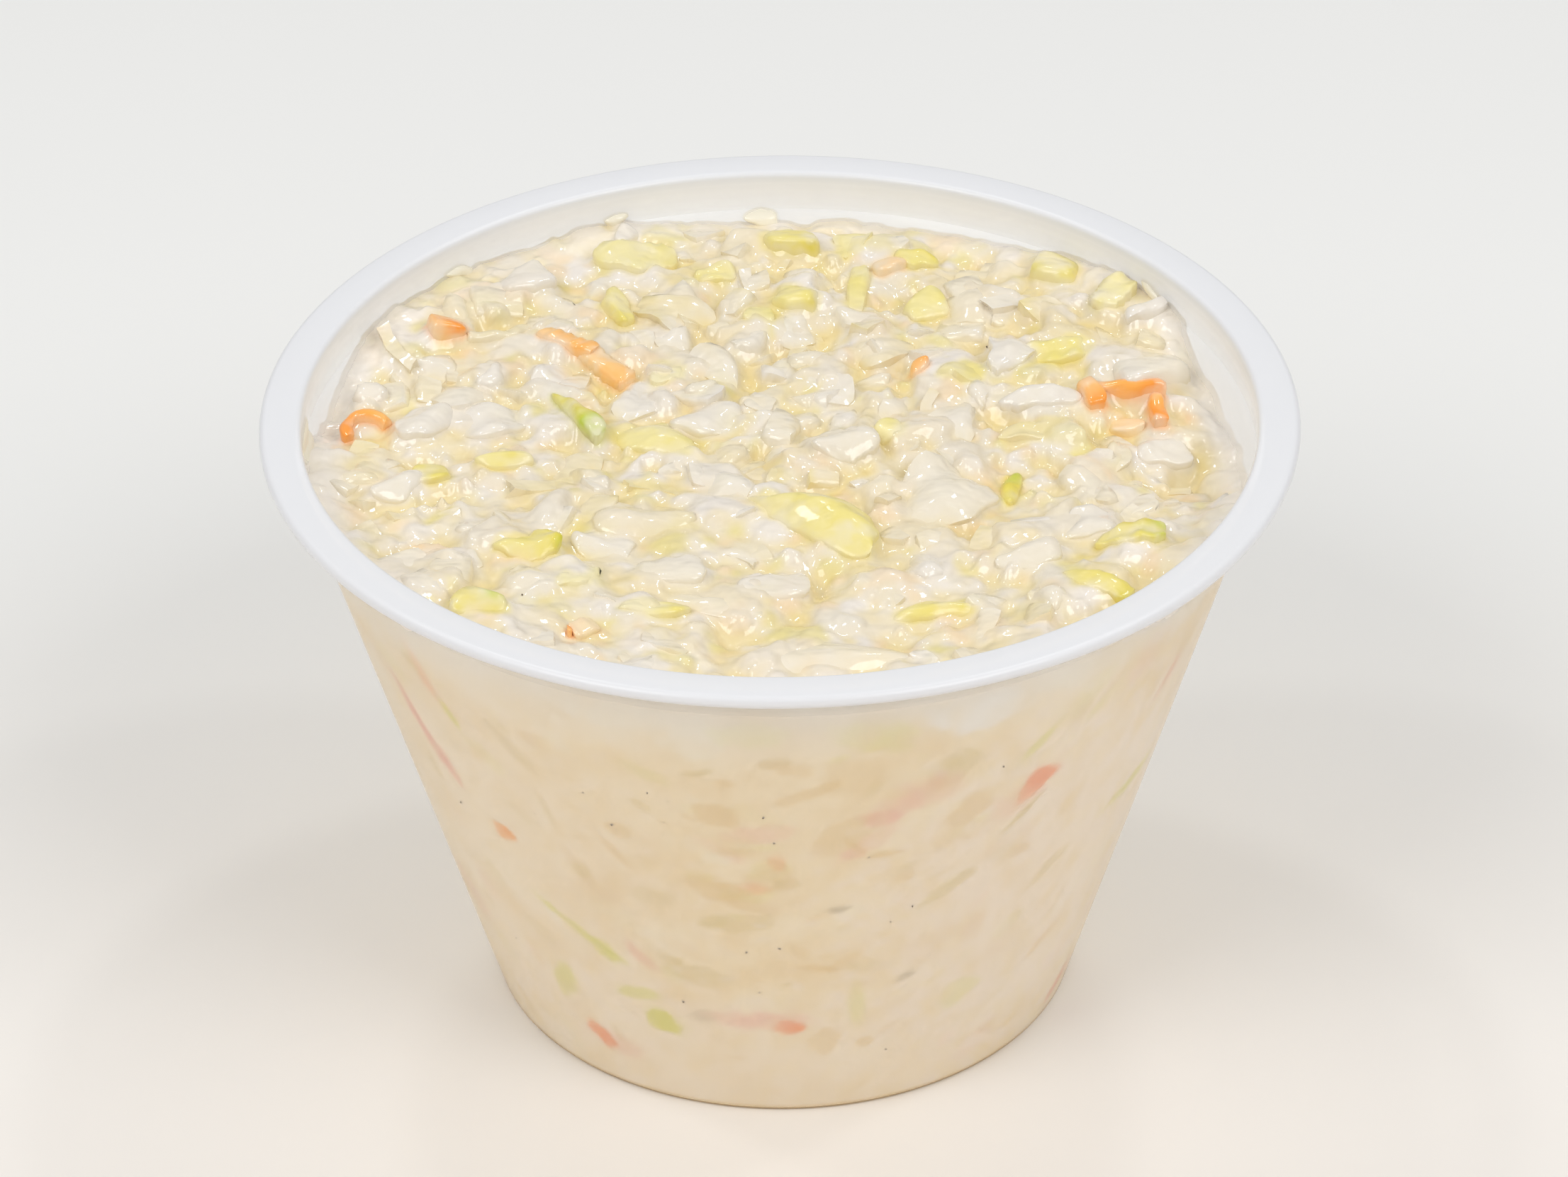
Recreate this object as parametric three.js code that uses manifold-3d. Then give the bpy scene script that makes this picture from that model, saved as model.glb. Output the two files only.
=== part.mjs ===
// Coleslaw in a small portion cup: a thin milky cup and the finely chopped salad that fills it.
// Millimetres, +Z up. The origin is the middle of the foot, on the table; -Y is the front.
import * as THREE from "three";
import { mergeVertices } from "three/addons/utils/BufferGeometryUtils.js";
import Module from "manifold-3d";

const wasm = await Module();
wasm.setup();

// The cup, a nominal four-ounce portion cup.
const CUP_HEIGHT = 46.2;
const WALL = 0.55;
const BASE_RADIUS = 21.3; // where the wall's outer line would meet the table
const WALL_SLOPE = 0.3; // outward growth for each millimetre of height
const CORNER_RADIUS = 1.5;
const FOOT_WIDTH = 2.2;
const FOOT_RECESS = 0.6; // the middle of the floor stands this clear of the table
const FLOOR = 0.6;
const STEP_HEIGHT = 42.6; // the stacking step, just under the rim
const STEP_OUT = 0.4;
const STEP_RISE = 0.5;
const RIM_RADIUS = 37;
const RIM_WIDTH = 3;
const RIM_THICKNESS = 1;
const RIM_ROUND = 0.45; // radius of the rim's inner edge
const CUP_SIDES = 64;

// The salad.
const GAP = 0.3; // clearance between the salad and the cup
const LEVEL = 41.2; // height of the salad's surface before its mounds
const RIPPLE = 0.4; // height of the low lumps between the mounds
const LUMP = 1.8; // their size, as the radius of a sine
const FOOD_TOP = 45; // nothing of the salad stands higher
const CORE_SIDES = 40;
const CORE_RINGS = 6;
const SEED = 4107;
const LEAF_FACES = [3, 2];
const STRIP_FACES = 5;
const LEAST_BEND = 0.05; // radians, so that a straight shred keeps a finite radius
const CURL_BEND = 3.6;
const LEAF_TAPER = 0.55; // share of a leaf's width lost at its ends
const LEAF_DROOP = 0.35;

// Broad mounds and hollows of the surface: place, rise and spread.
const MOUNDS = [
  { x: 0, y: 30, rise: 1.1, spread: 13 },
  { x: -24, y: 20, rise: 1.4, spread: 11 },
  { x: 26, y: 20, rise: 1.5, spread: 9 },
  { x: -22, y: -20, rise: 1.1, spread: 10 },
  { x: 6, y: -25, rise: -1.1, spread: 15 },
  { x: 31, y: 1, rise: -2.6, spread: 8 },
  { x: 15, y: -2, rise: -0.9, spread: 5 },
];

// The pieces that catch the eye. A turn of 0 degrees runs along +X, lift raises one off the surface.
const FEATURES = [
  { shape: "curl", x: -30.2, y: 4.9, turn: 110, length: 5.2, width: 1.3, thickness: 1 },
  { shape: "chip", x: -24.3, y: 15.6, turn: 20, length: 2.9, width: 2.3, thickness: 1.6, lift: 0.5 },
  { shape: "strip", x: -13.9, y: 13.4, turn: -43, length: 8.8, width: 1.8, thickness: 1 },
  { shape: "strip", x: 24.8, y: 8.4, turn: -28, length: 7, width: 1.7, thickness: 1.1, lift: 0.6 },
  { shape: "chip", x: 10.3, y: 12.1, turn: 0, length: 1.6, width: 1.3, thickness: 1 },
  { shape: "leaf", x: 2.6, y: -8, turn: -35, length: 11.5, width: 3.8, thickness: 0.7 },
  { shape: "leaf", x: -14.3, y: 5.2, turn: -60, length: 7.6, width: 2.4, thickness: 0.7 },
  { shape: "leaf", x: -9, y: 2.8, turn: -30, length: 6.4, width: 2.8, thickness: 0.7 },
  { shape: "chip", x: -20.8, y: -20.6, turn: -12, length: 3.8, width: 2.6, thickness: 1.6, lift: 0.4 },
  { shape: "leaf", x: -17.7, y: -12.2, turn: 12, length: 4.6, width: 3, thickness: 0.9 },
  { shape: "chip", x: -24.8, y: -1.8, turn: 15, length: 2.8, width: 2.6, thickness: 1.4 },
  { shape: "leaf", x: 0, y: -25, turn: 3, length: 16, width: 3.4, thickness: 0.6 },
  { shape: "leaf", x: -6, y: -16.5, turn: -12, length: 13, width: 3, thickness: 0.6 },
  { shape: "leaf", x: 10.7, y: -18.4, turn: 8, length: 5.6, width: 2, thickness: 0.8 },
  { shape: "leaf", x: 24, y: -11, turn: 6, length: 5.2, width: 3, thickness: 0.8 },
  { shape: "strip", x: 22, y: -16.4, turn: -32, length: 5, width: 1.7, thickness: 0.8 },
  { shape: "leaf", x: 9, y: 4.6, turn: 35, length: 9, width: 5.4, thickness: 0.7, lift: 0.3 },
  { shape: "leaf", x: 13.5, y: -3.4, turn: 70, length: 7.5, width: 4.6, thickness: 0.8, lift: 0.4 },
  { shape: "chip", x: 0.8, y: 28.6, turn: 8, length: 4.4, width: 3.4, thickness: 2.4, lift: 0.7 },
  { shape: "chip", x: 20.6, y: 24.6, turn: -20, length: 4.2, width: 3.8, thickness: 2.6, lift: 0.8 },
];

// Scattered pieces: how many of each shape, with their least and greatest length.
const SCATTER = [
  { shape: "leaf", count: 20, least: 5.5, most: 10 },
  { shape: "chip", count: 96, least: 2.8, most: 6.4 },
  { shape: "strip", count: 10, least: 5, most: 9 },
];
const DRIFT = 1.2; // how far a scattered piece strays from its even place
const GOLDEN_ANGLE = Math.PI * (3 - Math.sqrt(5));
const CALM_EDGE = -5; // in front of this y the pieces lie flat in the dressing
const CALM = { tilt: 0.14, lift: [-0.5, -0.1] }; // radians, millimetres
const ROUGH = { tilt: 0.55, lift: [0.1, 0.5] };

THREE.MathUtils.seededRandom(SEED);
const between = (low, high) => THREE.MathUtils.lerp(low, high, THREE.MathUtils.seededRandom());

/** How pieces lie at a place: flat in the calm front, tumbled behind it. */
const lie = (y) => (y < CALM_EDGE ? CALM : ROUGH);

/** Outer radius of the cup's wall at a height. */
const wallRadius = (z) => BASE_RADIUS + WALL_SLOPE * z;

/** Inner radius of the cup at a height, step included. */
function innerRadius(z) {
  const past = THREE.MathUtils.clamp((z - STEP_HEIGHT) / STEP_RISE, 0, 1);
  const straight = wallRadius(Math.min(z, STEP_HEIGHT)) - WALL;
  return straight + past * (RIM_RADIUS - RIM_WIDTH - wallRadius(STEP_HEIGHT) + WALL);
}

/** Points of an arc in the profile's plane, from one angle to another in degrees. */
function arc(x, z, radius, from, to, parts) {
  const points = [];
  for (let i = 0; i <= parts; i++) {
    const angle = THREE.MathUtils.degToRad(THREE.MathUtils.lerp(from, to, i / parts));
    points.push(new THREE.Vector2(x + radius * Math.cos(angle), z + radius * Math.sin(angle)));
  }
  return points;
}

/** A profile revolved about the vertical axis. */
function revolved(profile, sides) {
  return new THREE.LatheGeometry(profile, sides).rotateX(Math.PI / 2);
}

/** The cup's section: under the foot, up the outside, over the rim and down the inside. */
function cupProfile() {
  const lean = THREE.MathUtils.radToDeg(Math.atan(WALL_SLOPE));
  const slant = Math.hypot(1, WALL_SLOPE);
  const cornerX = wallRadius(CORNER_RADIUS) - CORNER_RADIUS * slant;
  const insideCorner = CORNER_RADIUS - WALL / 2;
  const floorTop = FOOT_RECESS + FLOOR;
  const insideX = wallRadius(floorTop + insideCorner) - WALL - insideCorner * slant;
  const footX = cornerX - FOOT_WIDTH;
  const rimInner = RIM_RADIUS - RIM_WIDTH;
  const rimHalf = RIM_THICKNESS / 2;
  const rimUnder = CUP_HEIGHT - RIM_THICKNESS;
  const point = (x, z) => new THREE.Vector2(x, z);
  return [
    point(0, FOOT_RECESS),
    point(footX - FOOT_RECESS, FOOT_RECESS),
    point(footX, 0),
    ...arc(cornerX, CORNER_RADIUS, CORNER_RADIUS, -90, -lean, 3),
    point(wallRadius(STEP_HEIGHT), STEP_HEIGHT),
    point(wallRadius(STEP_HEIGHT) + STEP_OUT, STEP_HEIGHT + STEP_RISE),
    point(wallRadius(STEP_HEIGHT) + STEP_OUT, rimUnder),
    ...arc(RIM_RADIUS - rimHalf, rimUnder + rimHalf, rimHalf, -90, 90, 4),
    ...arc(rimInner + RIM_ROUND, CUP_HEIGHT - RIM_ROUND, RIM_ROUND, 90, 180, 2),
    point(rimInner, STEP_HEIGHT + STEP_RISE),
    point(innerRadius(STEP_HEIGHT), STEP_HEIGHT),
    ...arc(insideX, floorTop + insideCorner, insideCorner, -lean, -90, 3),
    point(0, floorTop),
  ];
}

/** Height of the salad's surface: its mounds, with a low ripple over them. */
function surfaceHeight(x, y) {
  const mound = (sum, m) => sum + m.rise * Math.exp(-((x - m.x) ** 2 + (y - m.y) ** 2) / m.spread ** 2);
  const lumps = RIPPLE * Math.sin(x / LUMP) * Math.cos(y / LUMP);
  const slanted = (RIPPLE / 2) * Math.sin((1.5 * x - y) / LUMP);
  return MOUNDS.reduce(mound, LEVEL) + lumps + slanted;
}

/** The salad's room in the cup: a section that keeps clear of the cup, up to a height. */
function roomProfile(top) {
  const bottom = FOOT_RECESS + FLOOR + GAP;
  const edge = innerRadius(bottom) - GAP;
  const chamfer = CORNER_RADIUS;
  const heights = [bottom + chamfer, top / 2, STEP_HEIGHT, top].filter((z) => z <= top);
  return [
    new THREE.Vector2(0, bottom),
    new THREE.Vector2(edge - chamfer, bottom),
    ...heights.map((z) => new THREE.Vector2(innerRadius(Math.min(z, STEP_HEIGHT)) - GAP, z)),
  ];
}

/** The body of the salad: the cup's room with an uneven top. */
function coreGeometry() {
  const sides = roomProfile(LEVEL);
  const edge = sides.at(-1).x;
  const rings = [];
  for (let i = 1; i <= CORE_RINGS; i++) {
    rings.push(new THREE.Vector2(edge * (1 - i / CORE_RINGS), LEVEL));
  }
  const geometry = revolved([...sides, ...rings], CORE_SIDES);
  const position = geometry.getAttribute("position");
  for (let i = 0; i < position.count; i++) {
    if (position.getZ(i) < LEVEL - GAP) continue;
    const x = position.getX(i);
    const y = position.getY(i);
    const height = surfaceHeight(x, y);
    const shrink = Math.hypot(x, y) > edge - GAP ? (innerRadius(height) - GAP) / edge : 1;
    position.setXYZ(i, x * shrink, y * shrink, height);
  }
  return geometry;
}

/** A closed geometry as a manifold solid. */
function solid(geometry) {
  const bare = geometry.clone();
  bare.deleteAttribute("normal");
  bare.deleteAttribute("uv");
  const merged = mergeVertices(bare, 1e-4);
  return new wasm.Manifold(
    new wasm.Mesh({
      numProp: 3,
      vertProperties: new Float32Array(merged.getAttribute("position").array),
      triVerts: new Uint32Array(merged.index.array),
    }),
  );
}

/** A manifold solid as a geometry with flat faces. */
function geometryOf(shape) {
  const { vertProperties, triVerts, numProp } = shape.getMesh();
  const geometry = new THREE.BufferGeometry();
  geometry.setAttribute("position", new THREE.BufferAttribute(new Float32Array(vertProperties), numProp));
  geometry.setIndex(new THREE.BufferAttribute(new Uint32Array(triVerts), 1));
  const flat = geometry.toNonIndexed();
  flat.computeVertexNormals();
  return flat;
}

/** Moves each corner of a geometry by a rule that takes and returns a vector. */
function reshaped(geometry, rule) {
  const position = geometry.getAttribute("position");
  const corner = new THREE.Vector3();
  for (let i = 0; i < position.count; i++) {
    rule(corner.fromBufferAttribute(position, i));
    position.setXYZ(i, corner.x, corner.y, corner.z);
  }
  return geometry;
}

/** A chopped chip: a slice with an irregular outline of four or five corners. */
function chip({ length, width, thickness }) {
  const corners = between(0, 1) < 0.6 ? 4 : 5;
  const outline = new THREE.Shape();
  for (let i = 0; i < corners; i++) {
    const angle = (2 * Math.PI * (i + between(-0.3, 0.3))) / corners;
    const reach = between(0.8, 1.1) / 2;
    const x = length * reach * Math.cos(angle);
    const y = width * reach * Math.sin(angle);
    if (i === 0) outline.moveTo(x, y);
    else outline.lineTo(x, y);
  }
  const geometry = new THREE.ExtrudeGeometry(outline, { depth: thickness, bevelEnabled: false });
  const taper = between(0.7, 0.95);
  const tilt = between(-0.2, 0.2);
  return reshaped(geometry.translate(0, 0, -thickness / 2), (p) => {
    const scale = p.z > 0 ? taper : 1;
    p.set(p.x * scale, p.y * scale, p.z + tilt * p.x);
  });
}

/** A scrap of leaf: a thin wavy sheet with pointed ends. */
function leaf({ length, width, thickness }) {
  const [along, across] = LEAF_FACES;
  const geometry = new THREE.BoxGeometry(length, width, thickness, along, across, 1);
  const cup = between(0.15, 0.4);
  const wave = between(-0.5, 0.5);
  const lean = between(-0.2, 0.2);
  return reshaped(geometry, (p) => {
    const u = (2 * p.x) / length;
    const v = (2 * p.y) / width;
    p.y = p.y * (1 - LEAF_TAPER * u ** 2) + lean * p.x;
    p.z += cup * v ** 2 + wave * Math.sin(Math.PI * u) - LEAF_DROOP * u ** 2;
  });
}

/** A shred: a strip bent along an arc, by an angle in radians over its length. */
function strip({ length, width, thickness, bend = between(-0.9, 0.9) }) {
  const geometry = new THREE.BoxGeometry(length, width, thickness, STRIP_FACES, 1, 1);
  const side = Math.sign(bend);
  const radius = length / (Math.abs(bend) + LEAST_BEND);
  return reshaped(geometry, (p) => {
    const angle = p.x / radius;
    const reach = radius - side * p.y;
    p.set(reach * Math.sin(angle), side * (radius - reach * Math.cos(angle)), p.z);
  });
}

/** A shred curled nearly into a ring. */
const curl = (size) => strip({ ...size, bend: CURL_BEND });

const SHAPES = { chip, leaf, strip, curl };

/** A piece laid on the surface with a turn about Z, a small tilt and a lift. */
function laid(piece, tilt) {
  const turn = THREE.MathUtils.degToRad(piece.turn);
  const height = surfaceHeight(piece.x, piece.y) + (piece.lift ?? 0);
  return SHAPES[piece.shape](piece)
    .rotateX(between(-tilt, tilt))
    .rotateY(between(-tilt, tilt))
    .rotateZ(turn)
    .translate(piece.x, piece.y, height);
}

/** The scattered pieces of one shape, spread evenly by a spiral and shifted at random. */
function scattered({ shape, count, least, most }, reach) {
  const start = between(0, 2 * Math.PI);
  const pieces = [];
  for (let i = 0; i < count; i++) {
    const angle = start + i * GOLDEN_ANGLE;
    const radius = reach * Math.sqrt((i + 0.5) / count);
    const x = radius * Math.cos(angle) + between(-DRIFT, DRIFT);
    const y = radius * Math.sin(angle) + between(-DRIFT, DRIFT);
    const length = THREE.MathUtils.lerp(least, most, between(0, 1) ** 2);
    const { lift } = lie(y);
    pieces.push({
      shape,
      x,
      y,
      turn: between(0, 360),
      length,
      width: length * (shape === "strip" ? 0.22 : between(0.5, 0.85)),
      thickness: shape === "chip" ? between(1.1, 2.3) : between(0.6, 0.9),
      lift: between(...lift),
    });
  }
  return pieces;
}

/** The salad: its core with every piece fused on, kept inside the cup's room. */
function saladGeometry() {
  const reach = innerRadius(LEVEL) - 1;
  const clear = (p) => FEATURES.every((f) => Math.hypot(p.x - f.x, p.y - f.y) > f.length / 3);
  const loose = SCATTER.flatMap((kind) => scattered(kind, reach)).filter(clear);
  const solids = [
    ...loose.map((p) => solid(laid(p, lie(p.y).tilt))),
    ...FEATURES.map((p) => solid(laid(p, CALM.tilt))),
    solid(coreGeometry()),
  ];
  const room = solid(revolved([...roomProfile(FOOD_TOP), new THREE.Vector2(0, FOOD_TOP)], CUP_SIDES));
  const fused = wasm.Manifold.union(solids).intersect(room);
  const bodies = fused.decompose().filter((body) => body.volume() > 0);
  bodies.sort((a, b) => b.volume() - a.volume());
  return geometryOf(bodies[0]);
}

/** A named mesh with its own material. */
function part(name, geometry, color, roughness) {
  const material = new THREE.MeshStandardMaterial({ color, roughness, metalness: 0 });
  const mesh = new THREE.Mesh(geometry, material);
  mesh.name = name;
  return mesh;
}

const coleslawCup = new THREE.Group();
const cup = part("cup", revolved(cupProfile(), CUP_SIDES), "#e9eaec", 0.35);
cup.material.transparent = true;
cup.material.opacity = 0.55;
coleslawCup.add(cup, part("coleslaw", saladGeometry(), "#efe2c4", 0.3));

export default coleslawCup;
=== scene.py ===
"""Coleslaw in a small milky portion cup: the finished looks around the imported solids.

Everything is in the part's own frame: +Z up, the foot at z = 0, -Y the front. Sizes are
kept in millimetres and scaled to metres once, by MM.
"""
import logging
import math
from dataclasses import dataclass, field
from enum import Enum

import bpy
import numpy as np
from mathutils import Matrix, Vector


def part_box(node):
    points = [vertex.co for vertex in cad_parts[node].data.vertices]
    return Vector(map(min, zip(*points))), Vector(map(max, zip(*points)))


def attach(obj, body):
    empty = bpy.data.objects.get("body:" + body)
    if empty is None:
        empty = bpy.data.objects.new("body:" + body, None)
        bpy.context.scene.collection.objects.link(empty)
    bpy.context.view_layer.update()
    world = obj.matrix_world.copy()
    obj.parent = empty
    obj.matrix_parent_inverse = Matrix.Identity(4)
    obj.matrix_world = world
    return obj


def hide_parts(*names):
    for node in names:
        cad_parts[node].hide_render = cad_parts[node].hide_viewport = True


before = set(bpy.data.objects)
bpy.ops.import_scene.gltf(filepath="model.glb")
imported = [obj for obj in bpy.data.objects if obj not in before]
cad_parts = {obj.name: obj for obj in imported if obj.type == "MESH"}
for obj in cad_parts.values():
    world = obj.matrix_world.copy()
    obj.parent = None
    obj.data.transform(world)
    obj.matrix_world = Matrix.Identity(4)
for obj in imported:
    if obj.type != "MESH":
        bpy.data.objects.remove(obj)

MM = 0.001
SEED = 4107
GOLDEN_ANGLE = math.pi * (3 - math.sqrt(5))
LOG = logging.getLogger("coleslaw")
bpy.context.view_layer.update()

Colour = tuple[float, float, float]
Section = list[tuple[float, float]]
Array = np.ndarray
Socket = bpy.types.NodeSocket


# ---------------------------------------------------------------- small helpers


def linear(red: int, green: int, blue: int) -> Colour:
    """Turns a screen colour, 0 to 255 a channel, into the linear colour that shaders take.

    Args:
        red: Red on screen.
        green: Green on screen.
        blue: Blue on screen.

    Returns:
        The linear colour.
    """
    screen = (channel / 255 for channel in (red, green, blue))
    return tuple(c / 12.92 if c <= 0.04045 else ((c + 0.055) / 1.055) ** 2.4 for c in screen)


def smooth_step(low: float, high: float, value: Array) -> Array:
    """Rises smoothly from 0 at low to 1 at high.

    Args:
        low: Where the rise starts.
        high: Where it ends.
        value: The places to read.

    Returns:
        The rise at each place.
    """
    share = np.clip((value - low) / (high - low), 0, 1)
    return share * share * (3 - 2 * share)


def turned(points: Array, axis: int, angle: float) -> Array:
    """Turns points about one axis through the origin.

    Args:
        points: An N by 3 array.
        axis: 0, 1 or 2 for X, Y or Z.
        angle: The turn in radians.

    Returns:
        The turned points.
    """
    first, second = [(1, 2), (2, 0), (0, 1)][axis]
    cos, sin = math.cos(angle), math.sin(angle)
    out = points.copy()
    out[:, first] = cos * points[:, first] - sin * points[:, second]
    out[:, second] = sin * points[:, first] + cos * points[:, second]
    return out


def deselect() -> None:
    """Leaves nothing selected and no object in edit mode."""
    if bpy.context.object and bpy.context.object.mode != "OBJECT":
        bpy.ops.object.mode_set(mode="OBJECT")
    bpy.ops.object.select_all(action="DESELECT")


def smoothed(piece: bpy.types.Object, angle: float = 40) -> bpy.types.Object:
    """Shades a piece smooth, but for edges sharper than an angle in degrees.

    Args:
        piece: The mesh object.
        angle: The sharpest edge that is still smoothed.

    Returns:
        The same object.
    """
    deselect()
    piece.select_set(True)
    bpy.context.view_layer.objects.active = piece
    bpy.ops.object.shade_smooth_by_angle(angle=math.radians(angle))
    return piece


def mesh_piece(name: str, points: Array, faces: list[list[int]]) -> bpy.types.Object:
    """Makes an object at the origin from joined points and faces, riding on the part.

    Args:
        name: The piece's name.
        points: An N by 3 array in millimetres.
        faces: Corner numbers of each face, counter-clockwise from outside.

    Returns:
        The new object, linked to the scene.
    """
    mesh = bpy.data.meshes.new(name)
    mesh.from_pydata((points * MM).tolist(), [], faces)
    mesh.validate()
    piece = bpy.data.objects.new(name, mesh)
    bpy.context.scene.collection.objects.link(piece)
    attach(piece, "root")
    return piece


def painted(piece: bpy.types.Object, attribute: str, values: Array) -> None:
    """Stores a number or a colour for each point of a piece.

    Args:
        piece: The mesh object.
        attribute: The attribute's name.
        values: N numbers, or N by 3 linear colours.
    """
    if values.ndim == 1:
        layer = piece.data.attributes.new(attribute, "FLOAT", "POINT")
        layer.data.foreach_set("value", values.astype(np.float32))
        return
    layer = piece.data.attributes.new(attribute, "FLOAT_COLOR", "POINT")
    rows = np.ones((len(values), 4), np.float32)
    rows[:, :3] = values
    layer.data.foreach_set("color", rows.ravel())


def ring_faces(columns: int, rings: int) -> list[list[int]]:
    """Quads between rings of points, each ring further round the section than the last.

    Args:
        columns: Points a ring.
        rings: Number of rings.

    Returns:
        The faces, counter-clockwise from outside where rings run up an outer side.
    """
    ring, column = np.meshgrid(np.arange(rings - 1), np.arange(columns), indexing="ij")
    here, beside = ring * columns + column, ring * columns + (column + 1) % columns
    return np.stack([here, beside, beside + columns, here + columns], -1).reshape(-1, 4).tolist()


# ---------------------------------------------------------------- finishes


# Dressing: its own colour; the painted light on its crests; and its colour over the pieces, along the wall,
# and where it clouds.
FILM = linear(237, 227, 205)
CREST_LIGHT = linear(241, 233, 220)
CREAM_FILM = linear(239, 230, 210)
EDGE_FILM = linear(254, 248, 240)
CLOUD = linear(250, 243, 228)

# The thin wet coat that all the food shares.
WET = {"IOR": 1.4, "Coat_Roughness": 0.06, "Coat_IOR": 1.7}


@dataclass(frozen=True)
class Shader:
    """A node tree under construction, with short calls for the nodes the finishes share."""

    material: bpy.types.Material

    @classmethod
    def named(cls, name: str) -> "Shader":
        """Starts a node material.

        Args:
            name: The material's name.

        Returns:
            A shader that holds only the output node.
        """
        material = bpy.data.materials.new(name)
        material.use_nodes = True
        material.node_tree.nodes.clear()
        material.node_tree.nodes.new("ShaderNodeOutputMaterial")
        return cls(material)

    def add(self, kind: str, **settings: object) -> bpy.types.Node:
        """Adds a node.

        Args:
            kind: The node's type without its ShaderNode prefix.
            **settings: Properties of the node.

        Returns:
            The node.
        """
        made = self.material.node_tree.nodes.new("ShaderNode" + kind)
        for key, value in settings.items():
            setattr(made, key, value)
        return made

    def link(self, source: Socket, target: Socket) -> None:
        """Joins an output to an input."""
        self.material.node_tree.links.new(source, target)

    def noise(self, scale: float, detail: float = 3, stretch: Colour = (1, 1, 1)) -> Socket:
        """A noise pattern on the piece's own coordinates.

        Args:
            scale: Features for each metre.
            detail: Octaves of finer noise.
            stretch: How much denser the pattern is along each axis.

        Returns:
            The pattern's value, about 0 to 1.
        """
        place = self.add("TexCoord")
        mapping = self.add("Mapping")
        mapping.inputs["Scale"].default_value = stretch
        pattern = self.add("TexNoise")
        pattern.inputs["Scale"].default_value = scale
        pattern.inputs["Detail"].default_value = detail
        self.link(place.outputs["Object"], mapping.inputs["Vector"])
        self.link(mapping.outputs["Vector"], pattern.inputs["Vector"])
        return pattern.outputs["Fac"]

    def level(self, axis: str, low: float, high: float) -> Socket:
        """How far a place lies between two levels along an axis, 0 to 1.

        Args:
            axis: X, Y or Z.
            low: Millimetres where the share is 0.
            high: Millimetres where it is 1.

        Returns:
            The share.
        """
        place = self.add("TexCoord")
        axes = self.add("SeparateXYZ")
        share = self.add("MapRange")
        share.inputs["From Min"].default_value = low * MM
        share.inputs["From Max"].default_value = high * MM
        self.link(place.outputs["Object"], axes.inputs["Vector"])
        self.link(axes.outputs[axis], share.inputs["Value"])
        return share.outputs["Result"]

    def ramp(self, value: Socket, stops: dict[float, Colour]) -> Socket:
        """Turns a value into a colour through named stops.

        Args:
            value: The value, 0 to 1.
            stops: The colour at each place along the ramp.

        Returns:
            The colour.
        """
        made = self.add("ValToRGB")
        elements = made.color_ramp.elements
        while len(elements) < len(stops):
            elements.new(0.5)
        for element, (place, colour) in zip(elements, sorted(stops.items())):
            element.position = place
            element.color = (*colour, 1)
        self.link(value, made.inputs["Fac"])
        return made.outputs["Color"]

    def spread(self, value: Socket, low: float, high: float) -> Socket:
        """Stretches a noise value over a range.

        Args:
            value: The noise.
            low: The result where the noise is low.
            high: The result where it is high.

        Returns:
            The stretched value.
        """
        made = self.add("MapRange")
        made.inputs["From Min"].default_value = 0.3
        made.inputs["From Max"].default_value = 0.7
        made.inputs["To Min"].default_value = low
        made.inputs["To Max"].default_value = high
        self.link(value, made.inputs["Value"])
        return made.outputs["Result"]

    def mix(
        self, share: Socket, first: Socket | Colour, second: Socket | Colour, blend: str = "MIX"
    ) -> Socket:
        """Mixes two colours.

        Args:
            share: How much of the second.
            first: A colour or a colour socket.
            second: A colour or a colour socket.
            blend: Blender's name of the way to mix.

        Returns:
            The mixed colour.
        """
        made = self.add("Mix", data_type="RGBA", blend_type=blend)
        self.link(share, made.inputs["Factor"])
        for socket, colour in ((made.inputs[6], first), (made.inputs[7], second)):
            if isinstance(colour, Socket):
                self.link(colour, socket)
            else:
                socket.default_value = (*colour, 1)
        return made.outputs[2]

    def bump(self, height: Socket, depth: float, strength: float = 1.0) -> Socket:
        """Turns a height into a bumped normal.

        Args:
            height: The pattern.
            depth: Its depth in metres.
            strength: Its strength, 0 to 1.

        Returns:
            The normal.
        """
        made = self.add("Bump")
        made.inputs["Distance"].default_value = depth
        made.inputs["Strength"].default_value = strength
        self.link(height, made.inputs["Height"])
        return made.outputs["Normal"]

    def attribute(self, name: str) -> bpy.types.Node:
        """Reads an attribute of the mesh."""
        return self.add("Attribute", attribute_name=name)

    def principled(self, colour: Socket | Colour, normal: Socket, **values: float) -> bpy.types.Node:
        """Adds the surface shader and joins it to the output.

        Args:
            colour: The base colour or its socket.
            normal: The bumped normal.
            **values: Numbers for the shader's own sockets, with underscores for spaces.

        Returns:
            The shader.
        """
        made = self.add("BsdfPrincipled")
        if isinstance(colour, Socket):
            self.link(colour, made.inputs["Base Color"])
        else:
            made.inputs["Base Color"].default_value = (*colour, 1)
        self.link(normal, made.inputs["Normal"])
        for key, value in values.items():
            made.inputs[key.replace("_", " ")].default_value = value
        self.link(made.outputs["BSDF"], self.material.node_tree.nodes["Material Output"].inputs["Surface"])
        return made


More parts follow.
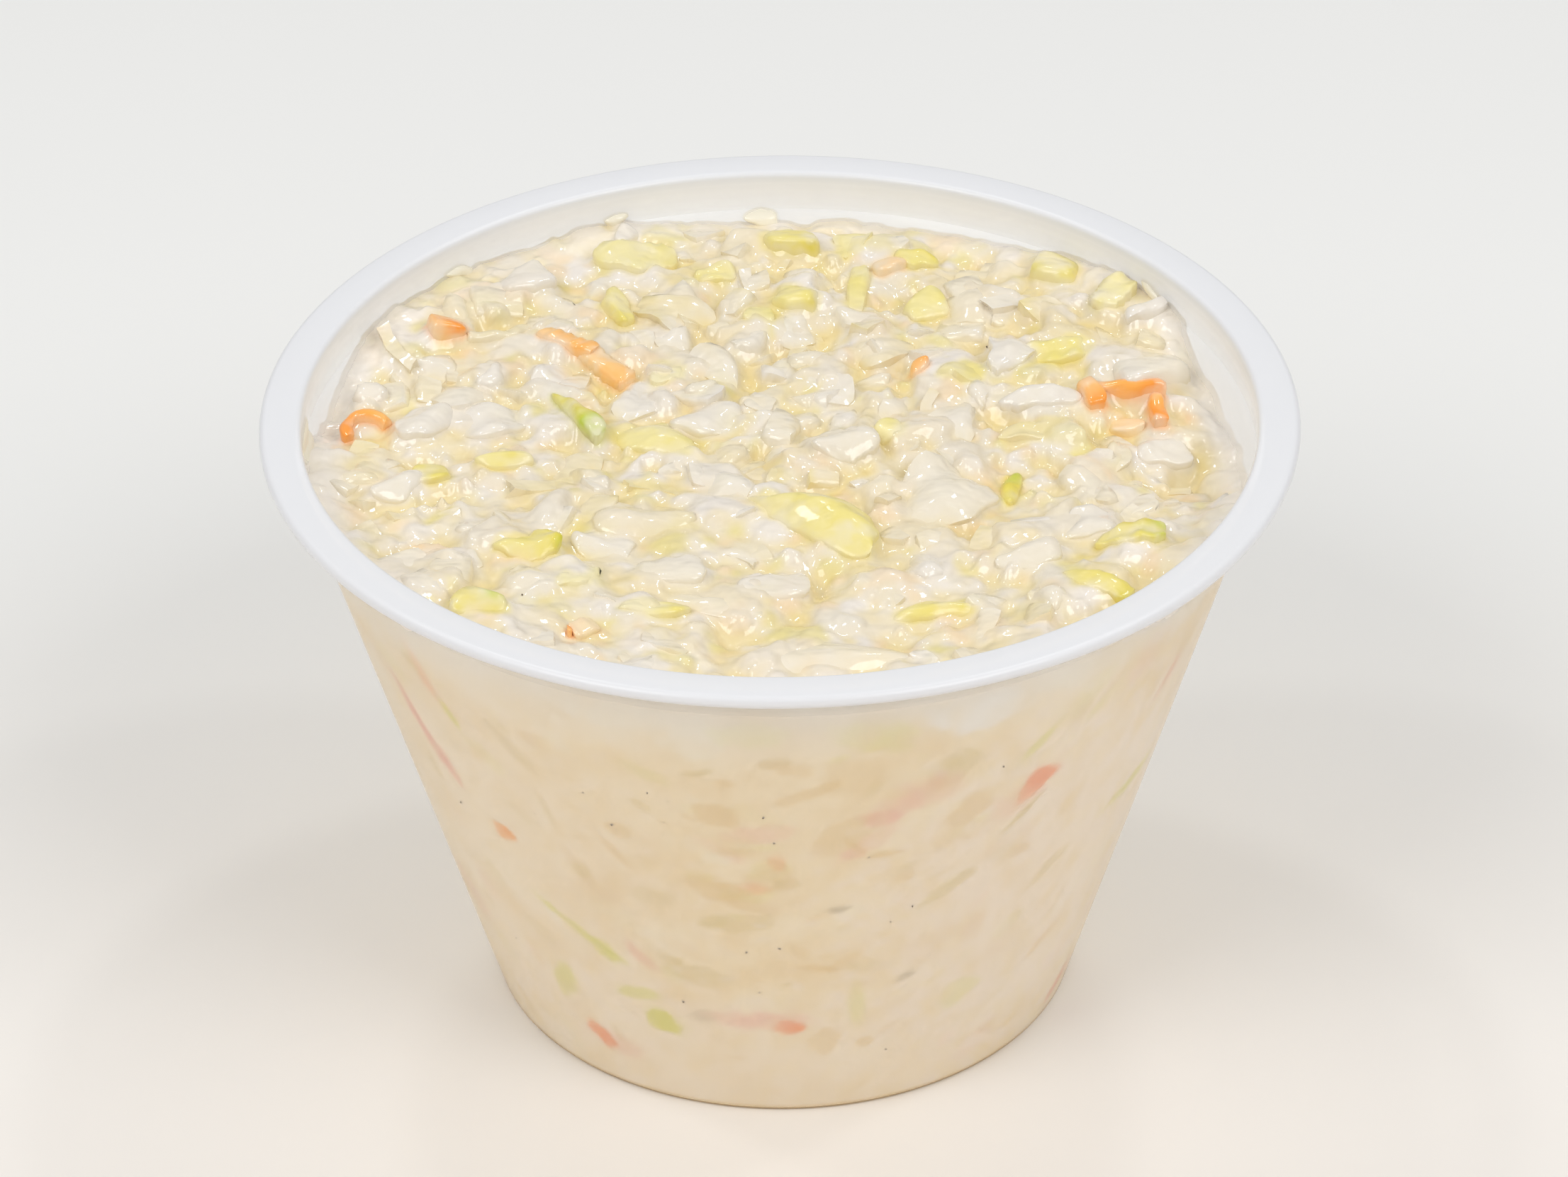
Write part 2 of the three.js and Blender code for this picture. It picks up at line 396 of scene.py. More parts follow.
@dataclass(frozen=True)
class MilkyPlastic:
    """Thin translucent polypropylene: it shows the salad, and is denser in the rim and the foot."""

    height: float
    cover: tuple[tuple[float, float], ...] = (
        (0.0, 0.5),
        (0.4, 0.3),
        (43.2, 0.3),
        (44.3, 0.5),
        (45.3, 0.84),
    )
    # Colour by height. Painted light: the lowest stops are lightened so that the contact shade under the
    # foot's corner comes out amber, and the stops from 41 to 44.6 mm are near white to lift the shade under
    # the rim.
    tint: tuple[tuple[float, Colour], ...] = (
        (0.0, linear(238, 206, 150)),
        (0.25, linear(238, 210, 160)),
        (0.7, linear(248, 240, 228)),
        (36.0, linear(248, 243, 236)),
        (41.0, linear(253, 250, 246)),
        (44.6, linear(253, 252, 251)),
        (46.0, linear(240, 241, 244)),
    )

    def material(self) -> bpy.types.Material:
        """Builds the node material.

        Returns:
            The material.
        """
        shader = Shader.named("milky_plastic")
        up = shader.level("Z", 0, self.height)
        colour = shader.ramp(up, {z / self.height: stop for z, stop in self.tint})
        cover = shader.ramp(up, {z / self.height: (share, share, share) for z, share in self.cover})
        normal = shader.bump(shader.noise(60, 1), 0.00003, 0.2)
        surface = shader.principled(colour, normal, Roughness=0.3, IOR=1.49)
        shader.link(cover, surface.inputs["Alpha"])
        return shader.material


@dataclass(frozen=True)
class WetFood:
    """Wet chopped food: a colour that drifts over each piece and fades into the dressing below."""

    name: str
    stops: dict[float, Colour] = field(hash=False)
    coating: float = 0.3
    grain: float = 800.0
    relief: float = 0.00026
    roughness: tuple[float, float] = (0.3, 0.42)
    gloss: float = 0.5

    def flesh(self, tint: float) -> Array:
        """The colour of a piece by its tint, before it drifts.

        Args:
            tint: The piece's tint.

        Returns:
            The linear colour.
        """
        places = sorted(self.stops)
        channels = zip(*(self.stops[place] for place in places))
        return np.array([np.interp(tint, places, channel) for channel in channels])

    def material(self) -> bpy.types.Material:
        """Builds the node material. Tint, bareness and the dressing's colour are read from the mesh.

        Returns:
            The material.
        """
        shader = Shader.named(self.name)
        drift = shader.add("Math", operation="MULTIPLY_ADD")
        shader.link(shader.spread(shader.noise(300, 2), -0.5, 0.5), drift.inputs[0])
        drift.inputs[1].default_value = 0.3
        shader.link(shader.attribute("tint").outputs["Fac"], drift.inputs[2])
        flesh = shader.ramp(drift.outputs["Value"], self.stops)
        soaked = shader.attribute("soak").outputs["Color"]
        patchy = shader.spread(shader.noise(420, 2), self.coating - 0.8, self.coating + 0.5)
        coated = shader.mix(patchy, flesh, CREAM_FILM)
        colour = shader.mix(shader.attribute("bare").outputs["Fac"], soaked, coated)
        normal = shader.bump(shader.noise(self.grain, 1, (1, 1.5, 1)), self.relief)
        surface = shader.principled(colour, normal, Coat_Weight=self.gloss, **WET)
        shader.link(shader.spread(shader.noise(500, 1), *self.roughness), surface.inputs["Roughness"])
        return shader.material


@dataclass(frozen=True)
class CreamDressing:
    """The wet mass of dressing and fine bits, in the colours painted on its mesh."""

    name: str
    grain: float
    relief: float
    gloss: float = 0.5
    roughness: tuple[float, float] = (0.28, 0.4)

    def material(self) -> bpy.types.Material:
        """Builds the node material.

        Returns:
            The material.
        """
        shader = Shader.named(self.name)
        stain = shader.attribute("stain").outputs["Color"]
        cloud = shader.spread(shader.noise(200, 2), 0, 0.5)
        colour = shader.mix(cloud, stain, CLOUD, "MULTIPLY")
        normal = shader.bump(shader.noise(self.grain, 1), self.relief)
        surface = shader.principled(colour, normal, Coat_Weight=self.gloss, **WET)
        shader.link(shader.spread(shader.noise(420, 1), *self.roughness), surface.inputs["Roughness"])
        return shader.material


@dataclass(frozen=True)
class PepperSkin:
    """Dark ground pepper."""

    def material(self) -> bpy.types.Material:
        """Builds the node material.

        Returns:
            The material.
        """
        shader = Shader.named("pepper_skin")
        husk = shader.noise(3000, 3)
        colour = shader.ramp(husk, {0.3: linear(92, 80, 70), 0.7: linear(142, 126, 104)})
        shader.principled(colour, shader.bump(husk, 0.00004), Roughness=0.6)
        return shader.material


@dataclass(frozen=True)
class PaleTable:
    """The plain pale surface under the cup, a little warmer towards the front, which is painted warm light.
    """

    near: Colour = linear(244, 236, 228)
    far: Colour = linear(242, 242, 240)
    reach: tuple[float, float] = (-95, 60)

    def material(self) -> bpy.types.Material:
        """Builds the node material.

        Returns:
            The material.
        """
        shader = Shader.named("pale_table")
        colour = shader.mix(shader.level("Y", *self.reach), self.near, self.far)
        shader.principled(colour, shader.bump(shader.noise(300, 1), 0.00003, 0.2), Roughness=0.6)
        return shader.material


# ---------------------------------------------------------------- the cup


@dataclass
class PortionCup:
    """The thin moulded cup. The rim's radius and the height come from its solid.

    The foot's corner is tighter than the solid's, which is rounded by 1.5 mm.
    """

    wall: float = 0.55
    base_radius: float = 21.3
    slope: float = 0.3
    corner: float = 0.5
    foot_width: float = 2.2
    foot_recess: float = 0.6
    floor: float = 0.6
    step_height: float = 42.6
    step_out: float = 0.4
    step_rise: float = 0.5
    rim_width: float = 3.0
    rim_thickness: float = 1.0
    rim_round: float = 0.45
    skin: float = 0.07
    sides: int = 180
    rim_radius: float = field(init=False)
    height: float = field(init=False)

    def __post_init__(self) -> None:
        """Reads the rim's radius and the height from the solid."""
        low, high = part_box("cup")
        self.rim_radius = (high.x - low.x) / 2 / MM
        self.height = high.z / MM

    def outer(self, z: Array | float) -> Array | float:
        """Outer radius of the straight wall at a height."""
        return self.base_radius + self.slope * z

    def inner(self, z: Array | float) -> Array | float:
        """Inner radius at a height, stacking step included.

        Args:
            z: Height in millimetres.

        Returns:
            The radius in millimetres.
        """
        past = np.clip((z - self.step_height) / self.step_rise, 0, 1)
        straight = self.outer(np.minimum(z, self.step_height)) - self.wall
        widening = self.rim_radius - self.rim_width - self.outer(self.step_height) + self.wall
        return straight + past * widening

    def within(self, z: Array | float) -> Array | float:
        """Radius just under the outer skin of the wall, as far as what fills the cup reaches.

        Args:
            z: Height in millimetres.

        Returns:
            The radius in millimetres.
        """
        past = np.clip((z - self.step_height) / self.step_rise, 0, 1)
        return self.outer(np.minimum(z, self.step_height)) + past * self.step_out - self.skin

    @property
    def corner_x(self) -> float:
        """Distance of the centre of the foot's round corner from the axis."""
        return self.outer(self.corner) - self.corner * math.hypot(1, self.slope)

    @property
    def lean(self) -> float:
        """Degrees by which the wall leans outwards."""
        return math.degrees(math.atan(self.slope))

    @staticmethod
    def arc(x: float, z: float, radius: float, start: float, end: float, parts: int) -> Section:
        """Points of an arc of the section.

        Args:
            x: Centre's distance from the axis.
            z: Centre's height.
            radius: Radius of the arc.
            start: First angle in degrees.
            end: Last angle in degrees.
            parts: Number of chords.

        Returns:
            The points from start to end.
        """
        angles = np.radians(np.linspace(start, end, parts + 1))
        return [(x + radius * math.cos(a), z + radius * math.sin(a)) for a in angles]

    def section(self) -> Section:
        """The cup's section: under the foot, up the outside, over the rim, down the inside.

        Returns:
            Distance from the axis and height of each point.
        """
        lean, corner_x = self.lean, self.corner_x
        inside = self.corner - self.wall / 2
        floor_top = self.foot_recess + self.floor
        inside_x = self.outer(floor_top + inside) - self.wall - inside * math.hypot(1, self.slope)
        foot_x = corner_x - self.foot_width
        half = self.rim_thickness / 2
        under = self.height - self.rim_thickness
        rim_inner = self.rim_radius - self.rim_width
        step_x = self.outer(self.step_height)
        return [
            (0, self.foot_recess),
            (foot_x - self.foot_recess, self.foot_recess),
            (foot_x, 0),
            *self.arc(corner_x, self.corner, self.corner, -90, -lean, 8),
            (self.outer(self.step_height / 2), self.step_height / 2),
            (step_x, self.step_height),
            (step_x + self.step_out, self.step_height + self.step_rise),
            (step_x + self.step_out, under),
            *self.arc(self.rim_radius - half, under + half, half, -90, 90, 12),
            *self.arc(rim_inner + self.rim_round, self.height - self.rim_round, self.rim_round, 90, 180, 6),
            (rim_inner, self.step_height + self.step_rise),
            (float(self.inner(self.step_height)), self.step_height),
            *self.arc(inside_x, floor_top + inside, inside, -lean, -90, 8),
            (0, floor_top),
        ]

    def build(self) -> bpy.types.Object:
        """Draws the section, spins it about the axis and dresses it.

        Returns:
            The cup, which stands for the cup's solid.
        """
        points = [Vector((x * MM, 0, z * MM)) for x, z in self.section()]
        deselect()
        bpy.ops.mesh.primitive_plane_add(size=MM, location=points[0])
        cup = bpy.context.object
        cup.name = cup.data.name = "cup_shell"
        bpy.ops.object.mode_set(mode="EDIT")
        bpy.ops.mesh.merge(type="CENTER")
        for before, after in zip(points, points[1:]):
            bpy.ops.mesh.extrude_region_move(TRANSFORM_OT_translate={"value": after - before})
        bpy.ops.mesh.select_all(action="SELECT")
        bpy.ops.mesh.spin(steps=self.sides, angle=2 * math.pi, center=(0, 0, 0), axis=(0, 0, 1))
        bpy.ops.mesh.select_all(action="SELECT")
        bpy.ops.mesh.remove_doubles(threshold=0.00001)
        bpy.ops.mesh.normals_make_consistent(inside=False)
        bpy.ops.object.mode_set(mode="OBJECT")
        bpy.ops.object.transform_apply(location=True, rotation=True, scale=True)
        smoothed(cup, 30)
        cup.data.materials.append(MilkyPlastic(self.height).material())
        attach(cup, "root")
        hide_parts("cup")
        return cup


# ---------------------------------------------------------------- chopped pieces


class Cut(Enum):
    """How a piece was cut."""

    DICE = "dice"
    FLAKE = "flake"
    BAR = "bar"


class Kind(Enum):
    """What a piece is, by the name of its joined mesh."""

    CABBAGE = "cabbage_dice"
    LEAF = "cabbage_flakes"
    GREEN = "green_leaf_bits"
    CARROT = "carrot_bits"


@dataclass(frozen=True)
class Mound:
    """A broad rise or hollow of the salad's surface, in millimetres."""

    x: float
    y: float
    rise: float
    spread: float


@dataclass(frozen=True)
class Surface:
    """The salad's broad surface, as its solid has it."""

    level: float = 41.2
    ripple: float = 0.4
    lump: float = 1.8
    calm_edge: float = -5.0
    mounds: tuple[Mound, ...] = (
        Mound(0, 30, 1.1, 13),
        Mound(-24, 20, 1.4, 11),
        Mound(26, 20, 1.5, 9),
        Mound(-22, -20, 1.1, 10),
        Mound(6, -25, -1.1, 15),
        Mound(31, 1, -2.6, 8),
        Mound(15, -2, -0.9, 5),
    )

    def height(self, x: Array | float, y: Array | float) -> Array | float:
        """Height of the surface.

        Args:
            x: Millimetres along X.
            y: Millimetres along Y.

        Returns:
            Millimetres above the table.
        """
        total = self.level + self.ripple * np.sin(x / self.lump) * np.cos(y / self.lump)
        total = total + self.ripple / 2 * np.sin((1.5 * x - y) / self.lump)
        for mound in self.mounds:
            distance = (x - mound.x) ** 2 + (y - mound.y) ** 2
            total = total + mound.rise * np.exp(-distance / mound.spread**2)
        return total

    def rough(self, y: Array | float) -> Array | float:
        """How tumbled the pieces lie, from 0 in the calm front to 1 behind it."""
        return smooth_step(self.calm_edge - 6, self.calm_edge + 8, np.asarray(y, float))


@dataclass(frozen=True)
class Piece:
    """One chopped piece where it lies. Lengths are millimetres and the turn degrees."""

    kind: Kind
    cut: Cut
    x: float
    y: float
    turn: float
    length: float
    width: float
    thickness: float
    lift: float = 0.0
    tint: float = 0.3
    bend: float = 0.4
    tilt: float = 0.12


# Those that catch the eye: kind, cut, x, y, turn, length, width, thickness, lift, tint, bend and tilt.
FEATURES = (
    Piece(Kind.CARROT, Cut.BAR, -30.2, 4.9, 215, 5.4, 0.9, 0.9, 1.1, 0.85, 3.2),
    Piece(Kind.CARROT, Cut.DICE, -24.3, 15.8, 20, 2.9, 2.4, 2.0, 1.3, 0.9),
    Piece(Kind.CARROT, Cut.BAR, -15.4, 14.9, -38, 5.0, 1.5, 1.1, 1.0, 0.5, 0.3),
    Piece(Kind.CARROT, Cut.BAR, -12.6, 12.3, -48, 5.0, 2.0, 1.3, 1.1, 0.42, 0.4),
    Piece(Kind.CARROT, Cut.BAR, 24.7, 8.8, -5, 6.4, 1.0, 1.1, 1.3, 0.85, 0.3),
    Piece(Kind.CARROT, Cut.DICE, 22.6, 8.1, -55, 2.8, 1.7, 1.4, 1.2, 0.8),
    Piece(Kind.CARROT, Cut.BAR, 27.3, 7.2, -86, 3.6, 1.2, 1.1, 1.3, 0.8, 0.3),
    Piece(Kind.CARROT, Cut.DICE, 10.3, 12.1, 0, 1.4, 1.2, 0.9, 0.8, 0.6),
    Piece(Kind.CARROT, Cut.DICE, 8.3, 25.6, 10, 2.6, 1.8, 1.0, 0.7, 0.12),
    Piece(Kind.CARROT, Cut.DICE, -13.6, -21.8, 30, 2.3, 1.7, 0.9, 0.5, 0.0),
    Piece(Kind.CARROT, Cut.DICE, -14.6, -22.6, 70, 0.6, 0.4, 0.4, 0.6, 1.0),
    Piece(Kind.CARROT, Cut.DICE, -24.4, -12.1, 20, 2.6, 1.8, 0.9, 0.4, 0.0),
    Piece(Kind.CARROT, Cut.DICE, 25.0, 6.0, 0, 2.6, 1.6, 0.9, 0.5, 0.0),
    Piece(Kind.GREEN, Cut.FLAKE, 2.6, -8.0, -35, 12.5, 5.0, 1.0, 0.9, 0.3, 0.7),
    Piece(Kind.GREEN, Cut.FLAKE, -14.3, 5.2, -58, 8.0, 1.9, 0.8, 1.2, 0.9, 0.6),
    Piece(Kind.GREEN, Cut.FLAKE, -9.0, 2.8, -30, 7.0, 4.0, 0.9, 0.8, 0.36),
    Piece(Kind.GREEN, Cut.DICE, -20.8, -20.6, -12, 4.0, 2.6, 1.8, 1.0, 0.8),
    Piece(Kind.GREEN, Cut.FLAKE, -17.7, -12.2, 12, 5.0, 3.2, 1.0, 0.9, 0.55),
    Piece(Kind.GREEN, Cut.DICE, -24.8, -1.8, 15, 2.8, 2.6, 1.6, 1.0, 0.62),
    Piece(Kind.GREEN, Cut.FLAKE, -19.6, -0.3, 8, 4.8, 2.0, 0.9, 0.8, 0.42),
    Piece(Kind.GREEN, Cut.FLAKE, -8.9, -19.3, 6, 5.0, 1.8, 0.8, 0.5, 0.36),
    Piece(Kind.GREEN, Cut.FLAKE, 10.7, -18.4, 8, 6.4, 2.2, 0.9, 0.6, 0.6, 0.3),
    Piece(Kind.GREEN, Cut.FLAKE, 24.6, -10.8, 6, 5.4, 2.8, 0.9, 1.0, 0.7),
    Piece(Kind.GREEN, Cut.FLAKE, 22.0, -16.4, -32, 5.6, 2.2, 0.9, 0.6, 0.62, 0.2),
    Piece(Kind.GREEN, Cut.FLAKE, 16.4, -2.2, 80, 5.0, 1.8, 0.8, 0.5, 0.8),
    Piece(Kind.GREEN, Cut.DICE, 0.8, 28.6, 8, 4.2, 3.2, 2.4, 1.3, 0.5),
    Piece(Kind.GREEN, Cut.DICE, 20.6, 24.6, -20, 4.0, 3.6, 2.4, 1.3, 0.46),
    Piece(Kind.GREEN, Cut.DICE, 10.8, 20.4, 30, 3.4, 3.0, 1.8, 0.9, 0.3),
    Piece(Kind.GREEN, Cut.DICE, 1.2, 20.8, -8, 3.6, 3.0, 1.8, 0.9, 0.34),
    Piece(Kind.GREEN, Cut.BAR, 5.8, 22.6, 84, 6.0, 1.6, 0.9, 0.6, 0.3, 0.2),
    Piece(Kind.GREEN, Cut.FLAKE, -10.5, 27.0, 10, 7.8, 4.8, 1.0, 0.9, 0.22),
    Piece(Kind.GREEN, Cut.FLAKE, -12.0, 20.2, -75, 5.6, 2.2, 0.9, 0.7, 0.4),
    Piece(Kind.GREEN, Cut.FLAKE, 24.6, 20.2, 60, 5.4, 3.2, 0.9, 1.0, 0.2),
    Piece(Kind.GREEN, Cut.FLAKE, 20.6, 13.6, 15, 5.8, 3.2, 0.9, 0.6, 0.42),
    Piece(Kind.GREEN, Cut.DICE, -1.5, 18.6, 0, 2.4, 2.0, 1.0, 0.5, 0.3),
    Piece(Kind.GREEN, Cut.FLAKE, -4.7, 24.7, 0, 3.6, 2.6, 0.9, 0.6, 0.3),
    Piece(Kind.GREEN, Cut.DICE, 7.9, 3.4, 20, 2.4, 2.2, 1.0, 0.6, 0.2),
    Piece(Kind.GREEN, Cut.FLAKE, 10.1, 26.6, 0, 3.4, 2.2, 0.9, 0.7, 0.5),
    Piece(Kind.LEAF, Cut.FLAKE, 2.0, -24.4, 3, 15.0, 4.4, 0.8, 0.05, 0.4, 0.25, 0.05),
    Piece(Kind.LEAF, Cut.FLAKE, -6.0, -17.5, -12, 12.0, 3.4, 0.8, 0.05, 0.36, 0.3, 0.05),
    Piece(Kind.LEAF, Cut.FLAKE, 11.6, -4.4, 30, 9.4, 7.6, 1.0, 1.0, 0.3, 0.6),
    Piece(Kind.LEAF, Cut.FLAKE, 4.6, 1.2, 20, 5.8, 4.6, 1.0, 1.0, 0.25, 0.7),
    Piece(Kind.LEAF, Cut.FLAKE, 16.8, 13.2, 75, 6.0, 3.4, 0.9, 1.2, 0.0, 0.5, 0.3),
    Piece(Kind.LEAF, Cut.FLAKE, 18.9, 7.6, 12, 6.8, 2.6, 0.9, 0.9, 0.06, 0.4),
    Piece(Kind.LEAF, Cut.FLAKE, 18.6, 4.3, 12, 6.4, 2.4, 0.9, 0.4, 0.8, 0.4),
    Piece(Kind.LEAF, Cut.DICE, 26.9, 11.8, 10, 6.0, 5.0, 2.4, 0.9, 0.2),
    Piece(Kind.LEAF, Cut.FLAKE, -9.8, -7.9, 8, 7.4, 5.4, 0.9, 0.6, 0.5, 0.5),
    Piece(Kind.LEAF, Cut.DICE, -13.2, -6.4, 70, 3.8, 2.6, 1.2, 0.5, 0.6),
    Piece(Kind.LEAF, Cut.DICE, -7.8, -14.2, 10, 5.0, 3.2, 1.5, 0.6, 0.2),
    Piece(Kind.LEAF, Cut.DICE, -0.6, -15.8, 2, 5.2, 3.0, 1.4, 0.5, 0.12),
    Piece(Kind.LEAF, Cut.FLAKE, -12.5, -11.0, -20, 5.6, 4.0, 0.9, 0.7, 0.12, 0.6),
    Piece(Kind.LEAF, Cut.FLAKE, 17.3, -12.6, 20, 5.0, 3.4, 0.9, 0.6, 0.25, 0.7),
    Piece(Kind.LEAF, Cut.FLAKE, 21.4, -8.4, 15, 4.6, 3.6, 0.9, 0.6, 0.15, 0.9),
    Piece(Kind.LEAF, Cut.DICE, -18.8, 22.7, 30, 4.4, 3.4, 2.0, 1.2, 0.08),
    Piece(Kind.LEAF, Cut.FLAKE, -25.5, 4.6, 60, 5.4, 4.0, 1.0, 0.9, 0.02, 0.7),
    Piece(Kind.LEAF, Cut.FLAKE, -20.4, 5.0, 20, 5.8, 4.6, 1.0, 0.9, 0.04, 0.5),
    Piece(Kind.LEAF, Cut.FLAKE, -5.1, 5.4, 40, 6.2, 4.6, 1.0, 0.9, 0.1, 0.5),
    Piece(Kind.LEAF, Cut.BAR, -20.4, 16.0, 30, 5.4, 1.0, 0.9, 0.7, 0.62, 0.9),
    Piece(Kind.LEAF, Cut.FLAKE, -27.2, -3.6, 40, 4.6, 3.2, 0.9, 0.9, 0.04, 0.6),
    Piece(Kind.LEAF, Cut.FLAKE, 27.5, 3.0, 30, 4.8, 3.4, 0.9, 0.8, 0.04, 0.6),
    Piece(Kind.LEAF, Cut.DICE, -11.4, 30.0, 70, 2.8, 1.7, 1.6, 1.2, 0.04),
    Piece(Kind.LEAF, Cut.BAR, 27.2, 17.8, 35, 4.2, 1.2, 0.9, 1.4, 0.0, 0.6),
)


@dataclass(frozen=True)
class Spread:
    """Scattered pieces of one kind: how many, of what cut, how large and how tinted."""

    kind: Kind
    cut: Cut
    count: int
    length: tuple[float, float]
    ratio: tuple[float, float]
    thickness: tuple[float, float]
    lift: tuple[float, float]
    tint: tuple[float, float]


SPREADS = (
    Spread(Kind.CABBAGE, Cut.DICE, 260, (1.8, 4.2), (0.5, 0.9), (0.9, 1.7), (-0.2, 0.5), (-0.1, 0.65)),
    Spread(Kind.LEAF, Cut.FLAKE, 190, (3.0, 7.0), (0.4, 0.85), (0.6, 1.0), (-0.1, 0.45), (-0.1, 0.65)),
    Spread(Kind.GREEN, Cut.FLAKE, 26, (2.4, 4.6), (0.4, 0.8), (0.6, 0.9), (0.0, 0.5), (0.0, 0.45)),
    Spread(Kind.LEAF, Cut.BAR, 60, (3.6, 7.0), (0.14, 0.26), (0.6, 1.0), (0.0, 0.5), (0.0, 0.9)),
)


@dataclass
class Knife:
    """Models each cut a few times, and shapes a copy of one into each piece."""

    rng: np.random.Generator
    variants: int = 4
    root: float = 0.8
    wave: float = 0.09
    plain: dict[Cut, list[tuple[Array, Array]]] = field(default_factory=dict)
    fine: dict[Cut, list[tuple[Array, Array]]] = field(default_factory=dict)

    def __post_init__(self) -> None:
        """Models the cuts, plain for the many and fine for the few that catch the eye."""
        makers = {Cut.DICE: self.dice, Cut.FLAKE: self.flake, Cut.BAR: self.bar}
        for cut, make in makers.items():
            self.plain[cut] = [self.taken(make(seed)) for seed in range(1, self.variants + 1)]
            self.fine[cut] = [self.taken(self.rounded(make(seed))) for seed in range(1, self.variants + 1)]

    @staticmethod
    def taken(model: bpy.types.Object) -> tuple[Array, Array]:
        """Takes the points and four-cornered faces of a model and removes it.

        Args:
            model: A finished object at the origin, one unit long.

        Returns:
            Its points and faces.
        """
        points = np.zeros(len(model.data.vertices) * 3)
        model.data.vertices.foreach_get("co", points)
        faces = np.array([tuple(face.vertices) for face in model.data.polygons])
        bpy.data.objects.remove(model)
        return points.reshape(-1, 3), faces

    @staticmethod
    def rounded(model: bpy.types.Object) -> bpy.types.Object:
        """Rounds a plain shape by one level of subdivision.

        Args:
            model: The plain shape.

        Returns:
            The same object, rounded.
        """
        rounding = model.modifiers.new("rounding", "SUBSURF")
        rounding.levels = rounding.render_levels = 1
        bpy.ops.object.modifier_apply(modifier=rounding.name)
        return model

    @staticmethod
    def thickened(model: bpy.types.Object) -> bpy.types.Object:
        """Gives a flat sheet a thickness of one unit.

        Args:
            model: The sheet.

        Returns:
            The same object.
        """
        thick = model.modifiers.new("thickness", "SOLIDIFY")
        thick.thickness = 1.0
        thick.offset = 0
        bpy.ops.object.modifier_apply(modifier=thick.name)
        return model

    def dice(self, seed: int) -> bpy.types.Object:
        """A chopped dice: a block with softened edges and knocked corners.

        Args:
            seed: Which variant.

        Returns:
            The model, about one unit along each side.
        """
        deselect()
        bpy.ops.mesh.primitive_cube_add(size=1)
        model = bpy.context.object
        bpy.ops.object.mode_set(mode="EDIT")
        bpy.ops.transform.vertex_random(offset=0.12, seed=seed)
        bpy.ops.mesh.subdivide(number_cuts=2)
        bpy.ops.object.mode_set(mode="OBJECT")
        for vertex in model.data.vertices:
            reach = sum(abs(2 * c) ** 4 for c in vertex.co) ** 0.25
            vertex.co *= 0.25 + 0.75 / max(reach, 0.7)
        return model

    def flake(self, seed: int) -> bpy.types.Object:
        """A flake of leaf: a thin sheet with a ragged rounded outline.

        Args:
            seed: Which variant.

        Returns:
            The model, one unit long, wide and thick.
        """
        deselect()
        bpy.ops.mesh.primitive_grid_add(x_subdivisions=6, y_subdivisions=5, size=1)
        model = bpy.context.object
        ragged = np.random.default_rng(seed).uniform(0.74, 1.12, 11)
        thin = []
        for vertex in model.data.vertices:
            x, y = 2 * vertex.co.x, 2 * vertex.co.y
            thin.append(1 - 0.75 * max(abs(x), abs(y)) ** 3)
            sector = (math.atan2(y, x) / (2 * math.pi) % 1) * len(ragged)
            near, share = int(sector) % len(ragged), sector % 1
            reach = ragged[near] * (1 - share) + ragged[(near + 1) % len(ragged)] * share
            vertex.co.x *= math.sqrt(1 - y * y / 2.3) * reach
            vertex.co.y *= math.sqrt(1 - x * x / 2.1) * reach
        self.thickened(model)
        for vertex in model.data.vertices:
            vertex.co.z *= thin[vertex.index % len(thin)]
        return model

    def bar(self, seed: int) -> bpy.types.Object:
        """A shred: a long bar with uneven sides that can bend.

        Args:
            seed: Which variant.

        Returns:
            The model, one unit long, wide and thick.
        """
        deselect()
        bpy.ops.mesh.primitive_grid_add(x_subdivisions=8, y_subdivisions=2, size=1)
        model = bpy.context.object
        bpy.ops.object.mode_set(mode="EDIT")
        bpy.ops.mesh.select_all(action="SELECT")
        bpy.ops.transform.vertex_random(offset=0.06, seed=seed)
        bpy.ops.object.mode_set(mode="OBJECT")
        return self.thickened(model)

    def shaped(self, piece: Piece, fine: bool) -> tuple[Array, Array]:
        """Gives a base shape the size and bend of one piece, at the origin.

        Args:
            piece: The piece to make.
            fine: Whether it is one that catches the eye.

        Returns:
            Its points in millimetres, and its faces.
        """
        shapes = (self.fine if fine else self.plain)[piece.cut]
        points, faces = shapes[self.rng.integers(self.variants)]
        u, v, w = (2 * points).T
        out = points * (piece.length, piece.width, piece.thickness)
        draw = self.rng.uniform(-1, 1, 6)
        if piece.cut is Cut.DICE:
            out[:, 0] *= 1 + 0.2 * draw[0] * w
            out[:, 1] *= 1 + 0.3 * draw[1] * u
            out[:, 2] += 0.22 * piece.thickness * (draw[2] * u + draw[3] * v + draw[5] * u * v)
            out[:, 1] += 0.16 * piece.width * draw[4] * u
        elif piece.cut is Cut.FLAKE:
            arch = piece.bend * piece.width * 0.26
            out[:, 2] += arch * draw[5] * (v * v - 0.5) - piece.bend * piece.length * 0.08 * (u * u - 0.5)
            out[:, 2] += 0.06 * piece.width * np.sin(3.1 * u + 3 * draw[0]) * (1 + v * draw[1])
            out[:, 2] += 0.05 * piece.width * np.sin(4.3 * v + 3 * draw[2])
            out[:, 1] += 0.1 * piece.length * draw[3] * u * u
            out[:, 1] *= 1 + 0.35 * draw[4] * u
        else:
            side = 1 if fine or draw[0] > 0 else -1
            radius = piece.length / piece.bend
            angle = u / 2 * piece.bend
            reach = radius - side * out[:, 1]
            out[:, 2] += 0.04 * piece.length * draw[1] * np.sin(2.5 * u)
            out[:, 0] = reach * np.sin(angle)
            out[:, 1] = side * (radius * math.cos(piece.bend / 4) - reach * np.cos(angle))
        wave = self.wave if fine else 0.6 * self.wave
        out += wave * np.sin(out @ self.rng.normal(0, 2.4, (3, 3)) + 3 * draw[:3])
